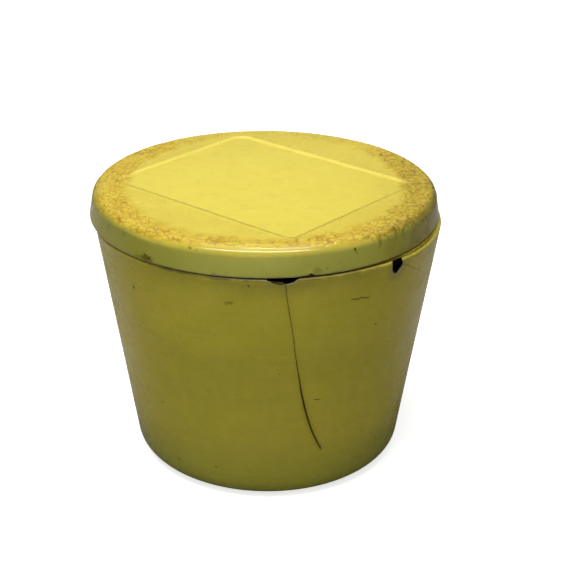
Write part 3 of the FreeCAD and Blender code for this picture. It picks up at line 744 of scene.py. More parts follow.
def crack_cutter():
    """A thin blade along the crack, pointing at the axis."""
    verts, faces = [], []
    for k, (a, z, w) in enumerate(CRACK_PTS):
        r = wall_r(z)
        ragged = 1 + 0.30 * wave(0, 0, z, 0.9, 12.0)
        half = math.degrees(w * ragged / 2 / r)
        for a_ in (a - half, a + half):
            c, s = math.cos(math.radians(a_)), math.sin(math.radians(a_))
            for rr in (r - 3.2, r + 4.0):
                verts.append((rr * c, rr * s, z))
    n = len(CRACK_PTS)
    for k in range(n - 1):
        p, q = 4 * k, 4 * (k + 1)
        # corners: 0 left in, 1 left out, 2 right in, 3 right out
        faces += [
            (p, p + 1, q + 1, q), (p + 2, q + 2, q + 3, p + 3),
            (p, q, q + 2, p + 2), (p + 1, p + 3, q + 3, q + 1),
        ]
    faces.append((0, 2, 3, 1))
    e = 4 * (n - 1)
    faces.append((e, e + 1, e + 3, e + 2))
    return solid("crack_cutter", verts, faces, CRACKED)


def solid(name, verts_mm, faces, material):
    me = bpy.data.meshes.new(name)
    me.from_pydata([(x * MM, y * MM, z * MM) for x, y, z in verts_mm], [], faces)
    me.materials.append(material)
    import bmesh

    bm = bmesh.new()
    bm.from_mesh(me)
    bmesh.ops.recalc_face_normals(bm, faces=bm.faces)
    bm.to_mesh(me)
    bm.free()
    ob = bpy.data.objects.new(name, me)
    bpy.context.scene.collection.objects.link(ob)
    return ob


def bite(name, azimuth, outline, r_in, r_out, material, seed, flare=0.0, layers=7, lean=0.0, skew=0.0, rough=0.10):
    """A broken-out place: an outline in (sideways, height) driven along the radius, with ragged walls.
    flare opens it towards the outside. lean tips its floor."""
    pts = []
    n = len(outline)
    for i in range(n):
        (x0, z0), (x1, z1) = outline[i], outline[(i + 1) % n]
        m = max(1, int(math.hypot(x1 - x0, z1 - z0) / 0.35))
        for k in range(m):
            pts.append((x0 + (x1 - x0) * k / m, z0 + (z1 - z0) * k / m))
    cx = sum(p[0] for p in pts) / len(pts)
    cz = max(p[1] for p in pts)
    verts, faces = [], []
    m = len(pts)
    for j in range(layers):
        t = j / (layers - 1)
        r = r_in + (r_out - r_in) * t
        for x, z in pts:
            grow = 1 + flare * (t - 0.5)
            rag = rough if z < cz - 0.4 else 0.0
            px = cx + (x - cx) * grow + rag * wave(x, z, r, 0.7, seed) + skew * (51.0 - r)
            pz = cz + (z - cz) * grow + rag * wave(x, z, r, 0.8, seed + 9) + lean * (t - 0.5) * (cz - z)
            a = math.radians(azimuth) + px / 51.0
            verts.append((r * math.cos(a), r * math.sin(a), pz))
    for j in range(layers - 1):
        for i in range(m):
            k = (i + 1) % m
            faces.append((j * m + i, j * m + k, (j + 1) * m + k, (j + 1) * m + i))
    faces.append(tuple(range(m - 1, -1, -1)))
    faces.append(tuple((layers - 1) * m + i for i in range(m)))
    return solid(name, verts, faces, material)


# ================================================================== outer shell
def shell_angles():
    """Finer where the crack and the chips are."""
    out, a = [], -180.0
    while a < 180.0 - 1e-6:
        out.append(math.radians(a))
        a += 0.36 if -100.0 <= a < -35.2 else 0.9
    return out


def build_shell():
    lean = math.radians(LEAN)
    t = FOOT * math.tan(math.radians(90 - LEAN) / 2)
    foot_c = BASE_LINE - t
    prof = run((34.0, 0.0), (foot_c, 0.0), 0.7)
    prof += arc(foot_c, FOOT, FOOT, -90, -LEAN, 18)
    start = prof.pop()
    rr = 0.75
    rim_c = (RIM_LINE - rr * math.tan(math.radians(90 + LEAN) / 2), RIM_H - rr)
    bend = arc(rim_c[0], rim_c[1], rr, -LEAN, 90, 10)
    mid = (start[0] + (bend[0][0] - start[0]) * 0.86, start[1] + (bend[0][1] - start[1]) * 0.86)
    prof += run(start, mid, 0.9) + run(mid, bend[0], 0.45) + bend
    lip = arc(LIP_R + 0.6, RIM_H - 0.6, 0.6, 90, 180, 5)
    prof += run(bend[-1], lip[0], 0.5)[1:] + lip
    prof.append((LIP_R, UNDER_LIP))
    inner_top = (wall_r(UNDER_LIP) - WALL, UNDER_LIP)
    prof += run((LIP_R, UNDER_LIP), inner_top, 1.0)[1:]
    ri = FOOT - WALL
    ti = ri * math.tan(math.radians(90 - LEAN) / 2)
    inner = arc(wall_r(WALL) - WALL - ti, WALL + ri, ri, -LEAN, -90, 8)
    prof += run(inner_top, inner[0], 4.0) + inner + [(34.0, WALL)]
    angles = shell_angles()
    lathe = Lathe()
    for r, z in prof:
        lathe.ring(angles, r, z)
    lathe.loop()
    v = np.array(lathe.verts)
    r = np.hypot(v[:, 0], v[:, 1])
    az = np.arctan2(v[:, 1], v[:, 0])
    z = v[:, 2]
    # The wall is not quite true: old sheet plastic warps a little.
    warp = np.array([wave(a * 1.0, b * 1.0, c * 0.8, 28.0, 5.0) for a, b, c in v])
    ripple = np.array([wave(a, b, c * 0.6, 9.0, 15.0) for a, b, c in v])
    grow = 0.10 * warp + 0.02 * ripple
    # The crack's left lip stands a little proud of the right one.
    on = np.interp(z, CRACK_ZS, CRACK_AS)
    side = (np.degrees(az) - on) * np.pi / 180 * r
    reach = np_step(z, 15.0, 22.0) * (z < 74.5)
    grow += reach * np.where(side < 0, 0.10, -0.05) * np.exp(-np.abs(side) / 1.6) * (np.abs(side) < 8)
    grow *= np_step(z, 0.0, 6.0)
    # In front the rim has drawn inwards, so it barely shows below the lid's edge.
    pull = rim_pull(np.degrees(az), z)
    top = z > UNDER_LIP - 0.01
    skin = np.where(r > wall_r(z) - 0.8, 1.0, 0.60)
    share = np.where(top, np.clip((r - LIP_R) / (RIM_LINE - LIP_R), 0, 1), skin)
    grow = grow * np.where(top, share, 1.0) - pull * share
    k = (r + grow) / r
    v[:, 0] *= k
    v[:, 1] *= k
    ob = make_piece("shell_wall", v, lathe.faces, [PLASTIC, BREAK, FLAKE, EDGE, CRACKED])
    # ragged outlines of the missing pieces: sideways and height from the middle of each
    front = [
        (-4.60, 76.0), (-4.50, 74.10), (-3.95, 73.86), (-3.30, 73.74), (-1.68, 73.55), (-0.30, 73.42),
        (0.10, 73.12), (0.49, 73.05), (1.10, 73.04), (1.64, 73.12), (2.63, 73.38), (3.35, 73.78),
        (3.97, 74.19), (4.60, 74.50), (4.80, 76.0),
    ]
    right = [
        (-1.55, 76.0), (-1.50, 74.3), (-1.52, 72.94), (-1.42, 71.6), (-1.28, 71.13), (-0.80, 70.60),
        (-0.20, 70.30), (0.25, 70.28), (0.90, 70.62), (1.60, 71.05), (2.15, 71.45), (2.60, 71.90),
        (2.80, 72.5), (2.70, 73.13), (2.25, 74.0), (2.05, 76.0),
    ]
    # the hole right through is smaller than the bite outside it all round, so the two share no wall
    hole_c = (0.55, 72.0)
    right_low = [
        (hole_c[0] + (x - hole_c[0]) * 0.84, hole_c[1] + (min(z, 72.75) - hole_c[1]) * 0.84) for x, z in right[2:-2]
    ]

    def wider(outline, by):
        cx = sum(p[0] for p in outline) / len(outline)
        cz = 74.6
        out = []
        for x, z in outline:
            d = max(1e-6, math.hypot(x - cx, z - cz))
            out.append((x + (x - cx) / d * by, z + min(0.0, (z - cz) / d * by)))
        return out

    # a pale edge round each, then the hole itself
    cut_with(ob, bite("front_edge", -84.2, wider(front, 0.20), 49.15, 57.0, EDGE, 1.0, rough=0.07))
    cut_with(ob, bite("right_edge", -45.6, wider(right, 0.26), 49.95, 57.0, EDGE, 2.0, skew=0.8, rough=0.07))
    # a thinner flake has come off the outer face below the left half of the front chip
    flake = [
        (-4.45, 74.6), (-4.26, 74.25), (-3.82, 73.82), (-2.76, 73.29), (-1.70, 73.02), (-0.68, 72.81),
        (0.20, 72.88), (0.45, 73.10), (0.50, 74.6),
    ]
    cut_with(ob, bite("front_flake", -84.2, flake, 48.85, 57.0, FLAKE, 4.0))
    cut_with(ob, bite("front_bite", -84.2, front, 46.9, 57.0, BREAK, 1.0))
    cut_with(ob, bite("right_bite", -45.6, right, 49.80, 57.0, BREAK, 2.0, skew=1.0))
    cut_with(ob, bite("right_hole", -45.6, right_low, 47.6, 50.6, BREAK, 2.0, skew=1.0))
    cut_with(ob, crack_cutter())
    finish_shading(ob.data, 38)
    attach(ob, "jar")
    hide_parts("jar_shell")
    return ob


def build_cup():
    """The bowl: polished inside; outside, where only the broken places show it, painted near-black as shade."""
    inside_r = lambda z: LIP_R - SLOPE * (UNDER_LIP - z)
    floor = CUP_LOW
    top = floor + CUP_WALL
    R = 9.0
    ro = inside_r(floor) + CUP_WALL
    t = R * math.tan(math.radians(90 - LEAN) / 2)
    outer = arc(ro - t, floor + R, R, -90, -LEAN, 12)
    under = UNDER_LIP - CUP_WALL
    prof = run((1.5, floor), outer[0], 4.0) + outer
    a = prof.pop()
    b = (inside_r(under) + CUP_WALL, under)
    prof += run(a, b, 3.0) + [b, (CUP_R, under), (CUP_R, UNDER_LIP)]
    prof += run((CUP_R, UNDER_LIP), (LIP_R, UNDER_LIP), 1.0)[1:] + [(LIP_R - 0.02, UNDER_LIP)]
    split = len(prof)
    Ri = R - CUP_WALL
    ri = inside_r(top)
    ti = Ri * math.tan(math.radians(90 - LEAN) / 2)
    inner = arc(ri - ti, top + Ri, Ri, -LEAN, -90, 14)
    prof += run((LIP_R - 0.02, UNDER_LIP - 0.01), inner[0], 1.6) + inner
    c = prof.pop()
    prof += run(c, (1.5, top), 1.6) + [(1.5, top)]
    lathe = Lathe()
    angles = even(360)
    for i, (r, z) in enumerate(prof):
        lathe.ring(angles, r, z, tag=0 if i >= split else 1)
    lathe.pole_last(top, 0)
    tags_before = len(lathe.tags)
    lathe.pole_first(floor)
    lathe.tags[tags_before:] = [1] * (len(lathe.tags) - tags_before)
    v = np.array(lathe.verts)
    sag = np.array([wave(a, b, c, 22.0, 2.0) for a, b, c in v]) * 0.08
    v[:, 2] += sag * (v[:, 2] < 40) * (v[:, 2] > floor + 0.6)
    rad = np.hypot(v[:, 0], v[:, 1])
    tuck = rim_pull(np.degrees(np.arctan2(v[:, 1], v[:, 0])), v[:, 2]) * 0.45 * np.clip((rad - 48.1) / 1.0, 0, 1)
    v[:, 0] *= (rad - tuck) / np.maximum(rad, 1e-6)
    v[:, 1] *= (rad - tuck) / np.maximum(rad, 1e-6)
    ob = make_piece("bowl_lining", v, lathe.faces, [BOWL, DARK], lathe.tags)
    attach(ob, "jar")
    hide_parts("inner_cup")
    return ob


def build_disc():
    lathe = Lathe()
    angles = even(360)
    prof = run((2.0, 0.0), (DISC_R - 0.3, 0.0), 2.0) + [(DISC_R - 0.3, 0.0), (DISC_R - 0.1, 0.06), (DISC_R, 0.3)]
    prof += [(DISC_R, 1.5), (DISC_STEP_R, 1.5), (DISC_STEP_R, DISC_HIGH)]
    prof += run((DISC_STEP_R, DISC_HIGH), (2.0, DISC_HIGH), 6.0)[1:] + [(2.0, DISC_HIGH)]
    for r, z in prof:
        lathe.ring(angles, r, z)
    lathe.pole_last(DISC_HIGH)
    lathe.pole_first(0.0)
    v = np.array(lathe.verts)
    r = np.hypot(v[:, 0], v[:, 1])
    # the foot disc is dished a little, so it stands on its edge
    dish = 0.22 * (1 - np.clip(r / 31.0, 0, 1) ** 2) + 0.03 * np.array([wave(a, b, 0, 12.0, 6.0) for a, b, _ in v]) * (r < 31)
    v[:, 2] += np.where(v[:, 2] < 0.2, np.clip(dish, 0, 1), 0)
    ob = make_piece("foot_disc", v, lathe.faces, [BASE])
    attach(ob, "jar")
    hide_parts("base_disc")
    return ob


# ================================================================== lid
PANEL_CENTRE = (-0.35, -0.7)
PANEL_HALF_DIAGONAL = 44.4
PANEL_ANGLES = (-0.8, 101.0)


def panel_frame():
    a0, a1 = (math.radians(a) for a in PANEL_ANGLES)
    r = PANEL_HALF_DIAGONAL
    p = np.array([r * math.cos(a0), r * math.sin(a0)])
    q = np.array([r * math.cos(a1), r * math.sin(a1)])
    u = (p - q) / np.linalg.norm(p - q)
    w = (p + q) / np.linalg.norm(p + q)
    return u, w, np.linalg.norm(p - q) / 2, np.linalg.norm(p + q) / 2


PU, PW, PHU, PHW = panel_frame()


def panel_distance(x, y, corner=3.4):
    """Signed distance in mm to the rounded panel outline, negative inside."""
    px, py = x - PANEL_CENTRE[0], y - PANEL_CENTRE[1]
    a = np.abs(px * PU[0] + py * PU[1]) - (PHU - corner)
    b = np.abs(px * PW[0] + py * PW[1]) - (PHW - corner)
    return np.hypot(np.maximum(a, 0), np.maximum(b, 0)) + np.minimum(np.maximum(a, b), 0) - corner


def crazing(theta, along):
    """Wrinkled, cracked skin on the shoulder. theta in radians, along = mm outwards over the shoulder.
    Returns line strength, cell tone and cell height for each point."""
    rnd = random.Random(77)
    R = 47.0
    cell_t, cell_r = 2.15, 1.60
    length = 2 * math.pi * R
    nt = int(length / cell_t)
    rows = int(20.0 / cell_r)
    seeds, tones = [], []
    for j in range(rows):
        for i in range(nt):
            if rnd.random() < 0.13:
                continue
            s = (i + 0.5 * (j % 2) + rnd.uniform(-0.50, 0.50)) * length / nt
            q = (j + rnd.uniform(-0.50, 0.50)) * cell_r
            seeds.append((s, q))
            tones.append(rnd.random())
    tree = kdtree.KDTree(3 * len(seeds))
    stretch = cell_r / cell_t
    for k, (s, q) in enumerate(seeds):
        for off in (-length, 0.0, length):
            tree.insert(((s + off) * stretch, q, 0.0), k)
    tree.balance()
    line = np.zeros(len(theta))
    tone = np.zeros(len(theta))
    lift = np.zeros(len(theta))
    for i, (th, q) in enumerate(zip(theta, along)):
        s = (th % (2 * math.pi)) * R
        a = noise.noise(Vector((s / 2.6, q / 2.6, 1.0)))
        b = noise.noise(Vector((s / 0.9, q / 0.9, 4.0)))
        c = noise.noise(Vector((s / 2.2, q / 2.2, 7.0)))
        d = noise.noise(Vector((s / 0.9, q / 0.9, 9.0)))
        found = tree.find_n(((s + 1.1 * a + 0.5 * b) * stretch, q + 0.8 * c + 0.4 * d, 0.0), 2)
        d1, d2 = found[0][2], found[1][2]
        edge = d2 - d1
        width = 0.46 + 0.30 * noise.noise(Vector((s / 3.0, q / 3.0, 21.0)))
        weight = 0.80 + 0.9 * noise.noise(Vector((s / 2.0, q / 2.0, 33.0)))
        line[i] = (1 - min(1.0, edge / max(0.20, width))) * min(1.0, max(0.20, weight))
        tone[i] = tones[found[0][1]]
        lift[i] = min(1.0, edge / 0.8)
    return line, tone, lift


def craze_strength(theta, along):
    """How strongly each place is crazed: most at left and right, less at the front, little at the back."""
    side = np.abs(np.cos(theta)) ** 1.5
    front = np.clip(-np.sin(theta), 0, 1)
    back = np.clip(np.sin(theta), 0, 1)
    level = np.clip(0.12 + 1.25 * side + 0.60 * front - 0.03 * back, 0, 1.25)
    patch = np.array([noise.noise(Vector((math.cos(t) * 3.4, math.sin(t) * 3.4, a / 6.0))) for t, a in zip(theta, along)])
    edge = np.array([noise.noise(Vector((math.cos(t) * 9.0, math.sin(t) * 9.0, 3.0))) for t in theta])
    # along is 0 at radius 37; the shoulder starts at about 10.6
    inner = 3.2 + 3.9 * front + 3.4 * back * (1 - side) + 1.6 * edge
    outer = 12.3 + 2.0 * side + 0.5 * edge
    zone = np_step(along, inner - 1.6, inner + 2.6) * (1 - np_step(along, outer - 0.5, outer + 0.8 + 1.8 * side))
    return np.clip(zone * level * (1 + 0.85 * patch), 0, 1)


# azimuth, half-width in degrees, depth, how far down the shoulder each wrinkle runs
FOLDS = [
    (-55.2, 0.40, 0.25, 14.6), (-53.6, 0.30, 0.55, 16.2), (-51.9, 0.26, 0.40, 15.2), (-50.7, 0.42, 0.95, 17.6),
    (-49.3, 0.24, 0.50, 15.6), (-47.9, 0.36, 0.80, 16.6), (-44.9, 0.30, 0.45, 15.0), (-43.4, 0.55, 1.05, 16.9),
    (-41.9, 0.28, 0.65, 15.4), (-39.3, 0.75, 0.90, 17.2), (-37.6, 0.30, 0.50, 15.8), (-34.1, 0.60, 0.75, 16.4),
    (-31.9, 0.28, 0.40, 15.2), (-27.0, 0.85, 0.60, 16.8), (-24.6, 0.35, 0.35, 15.4), (-18.0, 0.70, 0.45, 16.0),
    (-7.0, 0.90, 0.35, 15.8), (171.0, 0.9, 0.4, 15.8), (-174.0, 0.9, 0.45, 16.0), (-166.0, 0.8, 0.35, 15.6),
]


def build_lid():
    n0 = 1280
    rings = []  # (points per ring, radius, height, along)
    for r in (1.2, 2.4):
        rings.append((40, r, TOP_Z, 0))
    for r in np.arange(3.4, 5.01, 0.8):
        rings.append((80, float(r), TOP_Z, 0))
    for r in np.arange(5.8, 10.0, 0.7):
        rings.append((160, float(r), TOP_Z, 0))
    for r in np.arange(10.5, 20.0, 0.6):
        rings.append((320, float(r), TOP_Z, 0))
    for r in np.arange(20.4, 27.0, 0.45):
        rings.append((640, float(r), TOP_Z, 0))
    flat_r = BAND_R - SHOULDER
    for r in np.arange(27.2, flat_r - 0.1, 0.28):
        rings.append((n0, float(r), TOP_Z, 0))
    shoulder = arc(flat_r, SHOULDER_Z, SHOULDER, 90, 11.2, 22)
    rings += [(n0, r, z, 1) for r, z in shoulder]
    # the shoulder runs into the band, which widens evenly to its lower edge
    edge_r = LID_R
    top_r, top_h = shoulder[-1]
    for t in np.linspace(0, 1, 18)[1:-1]:
        rings.append((n0, top_r + (edge_r - top_r) * t, top_h + (LID_LOW + 0.4 - top_h) * t, 1))
    rings += [(n0, r, z, 1) for r, z in arc(edge_r - 0.4, LID_LOW + 0.4, 0.4, 0, -90, 5)]
    lip_r = 48.3
    rings += [(n0, r, LID_LOW, 2) for r in np.linspace(edge_r - 1.0, lip_r + 0.3, 4)]
    rings += [(640, lip_r + 0.08, LID_LOW + 0.09, 2), (640, lip_r, LID_LOW + 0.3, 2), (640, lip_r, PLATE_LOW, 2)]
    # hidden inner skin
    rings += [(320, r, PLATE_LOW, 3) for r in (lip_r + 0.8, 49.9)]
    rings += [(320, 49.7, WAIST, 3), (320, 49.7, TOP_Z - 3.6, 3), (320, 48.2, TOP_Z - 2.1, 3), (320, 46.0, TOP_Z - 1.76, 3)]
    rings += [(160, 30.0, TOP_Z - 1.75, 3), (80, 12.0, TOP_Z - 1.75, 3)]
    lathe = Lathe()
    kinds, alongs = [], []
    path, before = 0.0, None
    for n, r, z, kind in rings:
        lathe.ring(even(n), r, z)
        path = r - 37.0 if kind == 0 else path + math.hypot(r - before[0], z - before[1])
        before = (r, z)
        kinds += [kind] * n
        alongs += [path] * n
    lathe.pole_last(TOP_Z - 1.75)
    kinds.append(3)
    alongs.append(99.0)
    lathe.pole_first(TOP_Z)
    kinds.append(0)
    alongs.append(-37.0)
    v = np.array(lathe.verts)
    kinds, along = np.array(kinds), np.array(alongs)
    r = np.hypot(v[:, 0], v[:, 1])
    theta = np.arctan2(v[:, 1], v[:, 0])
    # outward direction of the lathe profile at each point
    over = v[:, 2] - SHOULDER_Z
    nr = np.where(kinds == 0, 0.0, np.where(over > 0, np.clip((r - flat_r) / SHOULDER, 0, 1), 1.0))
    nz = np.where(kinds == 0, 1.0, np.where(over > 0, np.clip(over / SHOULDER, 0, 1), 0.0))
    norm = np.maximum(np.hypot(nr, nz), 1e-6)
    nr, nz = nr / norm, nz / norm
    outer = kinds <= 1
    # domed top with the sunk panel
    dome = DOME * (1 - np.clip(r / flat_r, 0, 1) ** 2)
    d = panel_distance(v[:, 0], v[:, 1])
    sunk = 1 - np_step(d, -PANEL_BEVEL / 2, PANEL_BEVEL / 2)
    # dirt and painted shade lie in the bevel along the two front edges, fading towards the left corner
    px, py = v[:, 0] - PANEL_CENTRE[0], v[:, 1] - PANEL_CENTRE[1]
    facing = np.clip(-(np.sign(px * PU[0] + py * PU[1]) * PU[1] * (np.abs(px * PU[0] + py * PU[1]) / PHU > np.abs(px * PW[0] + py * PW[1]) / PHW)
                       + np.sign(px * PW[0] + py * PW[1]) * PW[1] * (np.abs(px * PU[0] + py * PU[1]) / PHU <= np.abs(px * PW[0] + py * PW[1]) / PHW)), 0, 1)
    groove = np.exp(-((d + 0.15) / 0.48) ** 2) * (facing > 0.05) * np_step(v[:, 0], -47.5, -38.0) * (1 - 0.35 * np_step(v[:, 0], 20.0, 42.0)) * (kinds == 0)
    # painted highlight: the panel's edge is paler along the two back edges, most on the left one, where the sloped
    # bevels catch the light
    rear = np.clip((d - 0.35) / 0.45, -1.6, 1.6)
    ridge = np.exp(-rear ** 2) * (facing <= 0.05) * (0.55 + 0.45 * np_step(-v[:, 0], -6.0, 6.0)) * (kinds == 0)
    # a low soft lip where the press drew the sheet over the panel's edge
    drawn = 0.07 * np.exp(-((d - 1.2) / 0.75) ** 2)
    v[:, 2] += np.where(kinds == 0, dome - PANEL_DEPTH * sunk + drawn * (r < flat_r), 0)
    # crazing relief
    want = outer & (along > 0.5) & (along < 16.5)
    idx = np.nonzero(want)[0]
    line, tone, lift = crazing(theta[idx], along[idx])
    strength = craze_strength(theta[idx], along[idx])
    craze = np.zeros(len(v))
    zone = np.zeros(len(v))
    cell = np.zeros(len(v))
    craze[idx] = line * strength
    zone[idx] = strength
    cell[idx] = tone
    push = np.zeros(len(v))
    push[idx] = strength * (0.100 * (lift - 0.75) + 0.075 * (tone - 0.5))
    deg = np.degrees(theta)
    fold = np.zeros(len(v))
    bend = np.zeros(len(v))
    bend[idx] = [noise.noise(Vector((d * 0.33, a / 2.4, 17.0))) for d, a in zip(deg[idx], along[idx])]
    for azimuth, wide, deep, reach in FOLDS:
        bent = deg - azimuth - 1.7 * bend + 0.22 * (along - 12.0) * math.sin(azimuth * 1.7)
        fold += deep * np.exp(-(bent / wide) ** 2) * np_step(along, 10.6 + 0.9 * math.sin(azimuth * 3.1), 12.4) * (1 - np_step(along, reach - 2.2, reach)) * outer
    push -= 0.10 * fold
    slow = np.array([wave(a, b, c, 17.0, 3.0) for a, b, c in v]) * 0.045
    fine = np.array([wave(a, b, c, 4.2, 13.0) for a, b, c in v]) * 0.008
    push += np.where(outer, slow + fine, 0)
    # the band's lower edge has a small nick at the front
    off = (np.degrees(theta) + 75.0) * 0.9
    nick = (0.62 * np.exp(-(off / 0.62) ** 2) + 0.22 * np.exp(-((off + 1.0) / 1.6) ** 2)) * outer
    v[:, 2] += nick * np_step(v[:, 2], LID_LOW + 2.2, LID_LOW)
    push *= np.where(kinds == 1, np_step(v[:, 2], LID_LOW, LID_LOW + 1.0), 1.0)
    k = (r + push * nr) / np.maximum(r, 1e-6)
    v[:, 0] *= k
    v[:, 1] *= k
    v[:, 2] += push * nz
    v[:, 0] += LID_X
    v[:, 1] += LID_Y
    ob = make_piece("lid_top", v, lathe.faces, [LID], smooth=60)
    for name, values in (("craze", craze), ("craze_zone", zone), ("cell_tone", cell), ("panel", sunk * (kinds == 0)), ("fold", fold), ("groove", groove), ("ridge", ridge)):
        layer = ob.data.attributes.new(name, "FLOAT", "POINT")
        layer.data.foreach_set("value", values.astype(np.float32))
    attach(ob, "lid")
    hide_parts("lid_cover")
    return ob


def build_plate():
    lathe = Lathe()
    angles = even(360)
    prof = run((2.0, PLATE_LOW), (PLATE_R, PLATE_LOW), 1.6) + [(PLATE_R, PLATE_LOW), (PLATE_R, PLATE_HIGH)]
    prof += run((PLATE_R, PLATE_HIGH), (2.0, PLATE_HIGH), 8.0)[1:] + [(2.0, PLATE_HIGH)]
    for r, z in prof:
        lathe.ring(angles, r, z)
    lathe.pole_last(PLATE_HIGH)
    lathe.pole_first(PLATE_LOW)
    v = np.array(lathe.verts)
    r = np.hypot(v[:, 0], v[:, 1])
    # the plate has sunk slightly upwards in the middle
    belly = 0.16 * (1 - np.clip(r / 41.0, 0, 1) ** 2) + 0.03 * np.array([wave(a, b, 0, 11.0, 8.0) for a, b, _ in v]) * (r < 40)
    v[:, 2] += np.where(v[:, 2] < PLATE_LOW + 0.01, np.clip(belly, 0, 1), 0)
    v[:, 0] += LID_X
    v[:, 1] += LID_Y
    ob = make_piece("lid_lining_plate", v, lathe.faces, [LINING])
    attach(ob, "lid")
    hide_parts("lid_inner_plate")
    return ob


def build_collar():
    ro, ri = COLLAR_R, COLLAR_R - 1.4
    prof = [(ro, COLLAR_HIGH)] + run((ro, COLLAR_HIGH), (ro, COLLAR_LOW + 0.5), 0.6)[1:]
    prof += arc(ro - 0.5, COLLAR_LOW + 0.5, 0.5, 0, -90, 5)
    prof += arc(ri + 0.5, COLLAR_LOW + 0.5, 0.5, -90, -180, 5)
    prof += run((ri, COLLAR_LOW + 0.5), (ri, COLLAR_HIGH), 0.6)[1:] + [(ri, COLLAR_HIGH)]
    lathe = Lathe()
    for r, z in prof:
        lathe.ring(even(480), r, z)
    lathe.loop()
    v = np.array(lathe.verts)
    r = np.hypot(v[:, 0], v[:, 1])
    w = np.array([wave(a, b, 0, 19.0, 4.0) for a, b, _ in v]) * 0.05 * (v[:, 2] < COLLAR_HIGH - 0.5)
    v[:, 0] *= (r + w) / r
    v[:, 1] *= (r + w) / r
    v[:, 0] += LID_X
    v[:, 1] += LID_Y
    ob = make_piece("lid_collar_ring", v, lathe.faces, [LINING])
    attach(ob, "lid")
    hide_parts("lid_collar")
    return ob


build_shell()
build_cup()
build_disc()
build_lid()
build_plate()
build_collar()

# ================================================================== light and stage settings
WORLD_COLOR = (0.97, 0.98, 1.0)
WORLD_STRENGTH = 0.26
FLOOR_TONE = 0.30
GLOSS_FRONT, GLOSS_BACK = 0.20, 0.64
LIGHTS = [
    # broad soft light overhead, a little to the front and left
    dict(name="overhead", place=(-0.12, -0.12, 0.85), aim=(0.0, 0.0, 0.07), size_x=0.60, size_y=0.50, power=6.6,
         color=(1.0, 0.99, 0.965), glossy=False),
    # two long tubes above, which draw the paired lines on the front shoulder
    dict(name="tube_front", place=(-0.04, -0.53, 0.83), aim=(0.0, 0.0, 0.08), size_x=0.93, size_y=0.045, power=4.6,
         along=(1.0, 0.0, 0.0), diffuse=False),
    dict(name="tube_top", place=(0.095, -0.06, 0.83), aim=(0.0, 0.0, 0.08), size_x=0.44, size_y=0.045, power=1.7,
         along=(1.0, -0.12, 0.0), diffuse=False),
    # a wide dim card behind, which lights the sloped back edges of the panel and the scaly rim
    dict(name="back_card", place=(0.0, 0.68, 1.06), aim=(0.0, 0.0, 0.08), size_x=1.5, size_y=0.30, power=3.2,
         along=(1.0, 0.0, 0.0), diffuse=False),
]


# ================================================================== stage
def staged(name, verts, faces, material, camera_only=False, smooth=False):
    me = bpy.data.meshes.new(name)
    me.from_pydata(verts, [], faces)
    me.materials.append(material)
    if smooth:
        me.polygons.foreach_set("use_smooth", [True] * len(me.polygons))
    ob = bpy.data.objects.new(name, me)
    bpy.context.scene.collection.objects.link(ob)
    if camera_only:
        ob.visible_diffuse = ob.visible_glossy = ob.visible_transmission = False
        ob.visible_volume_scatter = ob.visible_shadow = False
    return ob


def floor_material(name, tone, glow=0.0):
    sh = Shader(name)
    fine = sh.noise(0.02, 3.0, 0.5)
    base = sh.mix(fine, (tone * 0.97, tone * 0.97, tone * 0.97), (tone, tone, tone))
    mat = sh.finish(base, 0.7, None, specular=0.0)
    if glow:
        sh.bsdf.inputs["Emission Color"].default_value = (1.0, 1.0, 1.0, 1.0)
        sh.bsdf.inputs["Emission Strength"].default_value = glow
    return mat


def glow_material(name, color, strength):
    m = bpy.data.materials.new(name)
    m.use_nodes = True
    t = m.node_tree
    t.nodes.clear()
    out, em = t.nodes.new("ShaderNodeOutputMaterial"), t.nodes.new("ShaderNodeEmission")
    em.inputs["Color"].default_value = (*color, 1.0)
    em.inputs["Strength"].default_value = strength
    t.links.new(em.outputs[0], out.inputs[0])
    return m


def grid_plane(half, z):
    return [(-half, -half, z), (half, -half, z), (half, half, z), (-half, half, z)], [(0, 1, 2, 3)]


fv, ff = grid_plane(6.0, -0.0001)
floor = staged("floor", fv, ff, floor_material("pale_floor", 0.93, 0.72))
floor.visible_diffuse = floor.visible_glossy = floor.visible_shadow = False
# a quieter floor that only the jar's bounce light sees
bv, bf = grid_plane(6.0, -0.0004)
under = staged("bounce_floor", bv, bf, floor_material("bounce_floor", FLOOR_TONE))
under.visible_camera = under.visible_shadow = under.visible_glossy = False


# painted shade and light on a floor seen only in reflections: darker in front of the jar, paler behind
def gloss_floor_material():
    sh = Shader("gloss_floor")
    x, y, z = sh.xyz()
    fine = sh.noise(0.02, 3.0, 0.5)
    tone = sh.ramp(sh.math("ADD", y, sh.math("MULTIPLY", fine, 8.0)), -60.0, 60.0, GLOSS_FRONT, GLOSS_BACK)
    return sh.finish(sh.combine(sh.math("MULTIPLY", tone, 1.08), tone, sh.math("MULTIPLY", tone, 0.92)), 0.7, None, specular=0.0)


gv, gf = grid_plane(6.0, -0.0005)
shine = staged("gloss_floor", gv, gf, gloss_floor_material())
shine.visible_camera = shine.visible_shadow = shine.visible_diffuse = False


def dome(radius, n=48, m=16):
    verts, faces = [], []
    for j in range(m + 1):
        e = -0.25 + (math.pi / 2 + 0.25) * j / m
        for i in range(n):
            a = 2 * math.pi * i / n
            verts.append((radius * math.cos(e) * math.cos(a), radius * math.cos(e) * math.sin(a), radius * math.sin(e)))
    for j in range(m):
        for i in range(n):
            k = (i + 1) % n
            faces.append((j * n + i, j * n + k, (j + 1) * n + k, (j + 1) * n + i))
    return verts, faces


dv, df = dome(5.0)
staged("backdrop", dv, df, glow_material("white_backdrop", (1, 1, 1), 1.0), camera_only=True)


# ================================================================== light
world = bpy.data.worlds.new("studio")
bpy.context.scene.world = world
world.use_nodes = True
bg = world.node_tree.nodes.get("Background") or world.node_tree.nodes.new("ShaderNodeBackground")
bg.inputs["Color"].default_value = (*WORLD_COLOR, 1.0)
bg.inputs["Strength"].default_value = WORLD_STRENGTH


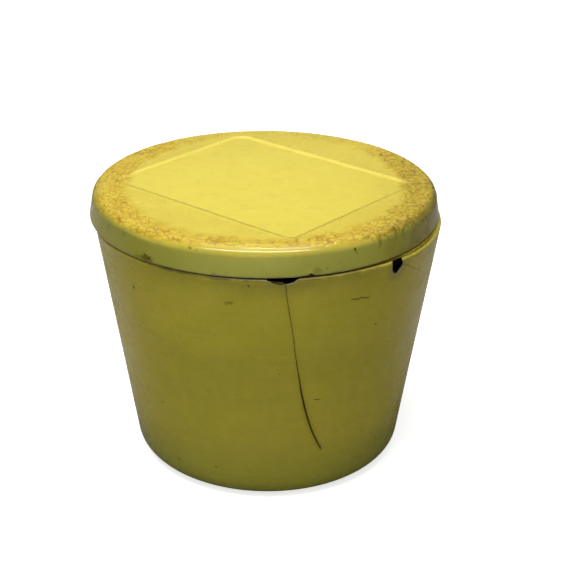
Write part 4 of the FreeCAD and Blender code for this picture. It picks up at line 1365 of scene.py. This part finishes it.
def area(name, place, aim, size_x, size_y, power, color=(1, 1, 1), glossy=True, diffuse=True, along=None):
    light = bpy.data.lights.new(name, "AREA")
    light.shape = "RECTANGLE"
    light.size, light.size_y = size_x, size_y
    light.energy = power
    light.color = color
    ob = bpy.data.objects.new(name, light)
    turn = (Vector(aim) - Vector(place)).to_track_quat("-Z", "Y").to_matrix()
    if along is not None:
        z_axis = (Vector(place) - Vector(aim)).normalized()
        x_axis = Vector(along)
        x_axis = (x_axis - z_axis * x_axis.dot(z_axis)).normalized()
        y_axis = z_axis.cross(x_axis)
        turn = Matrix((x_axis, y_axis, z_axis)).transposed()
    ob.matrix_world = Matrix.Translation(Vector(place)) @ turn.to_4x4()
    ob.visible_camera = False
    ob.visible_glossy = glossy
    ob.visible_diffuse = diffuse
    bpy.context.scene.collection.objects.link(ob)
    return ob


for spec in LIGHTS:
    area(**spec)


# ================================================================== camera
cam_data = bpy.data.cameras.new("camera")
cam_data.sensor_width = 36.0
cam_data.lens = 36.0 * 1288.64 / 580.0
cam_data.clip_start, cam_data.clip_end = 0.01, 50.0
cam_data.dof.use_dof = False
cam = bpy.data.objects.new("camera", cam_data)
bpy.context.scene.collection.objects.link(cam)
right = Vector((0.99995568, 0.00397207, 0.00853561)).normalized()
up = Vector((-0.00941456, 0.42188839, 0.90659889)).normalized()
back = right.cross(up).normalized()
up = back.cross(right)
m = Matrix.Identity(4)
for i in range(3):
    m[i][0], m[i][1], m[i][2] = right[i], up[i], back[i]
m[0][3], m[1][3], m[2][3] = 0.00669131, -0.35784662, 0.21509696
cam.matrix_world = m
bpy.context.scene.camera = cam

bpy.context.scene.view_settings.view_transform = "Standard"
bpy.context.scene.view_settings.look = "None"
bpy.context.scene.view_settings.exposure = 0.0
bpy.context.scene.view_settings.gamma = 1.0

# ================================================================== facing: every closed piece faces outwards
import bmesh

FACING = {}
for name in ("shell_wall", "bowl_lining", "foot_disc", "lid_top", "lid_lining_plate", "lid_collar_ring"):
    ob = bpy.data.objects[name]
    bm = bmesh.new()
    bm.from_mesh(ob.data)
    FACING[name] = bm.calc_volume(signed=True) < 0.0
    bm.free()
    if FACING[name]:
        ob.data.flip_normals()
print("turned to face outwards:", sorted(k for k, t in FACING.items() if t))

# ================================================================== update
bpy.context.view_layer.update()
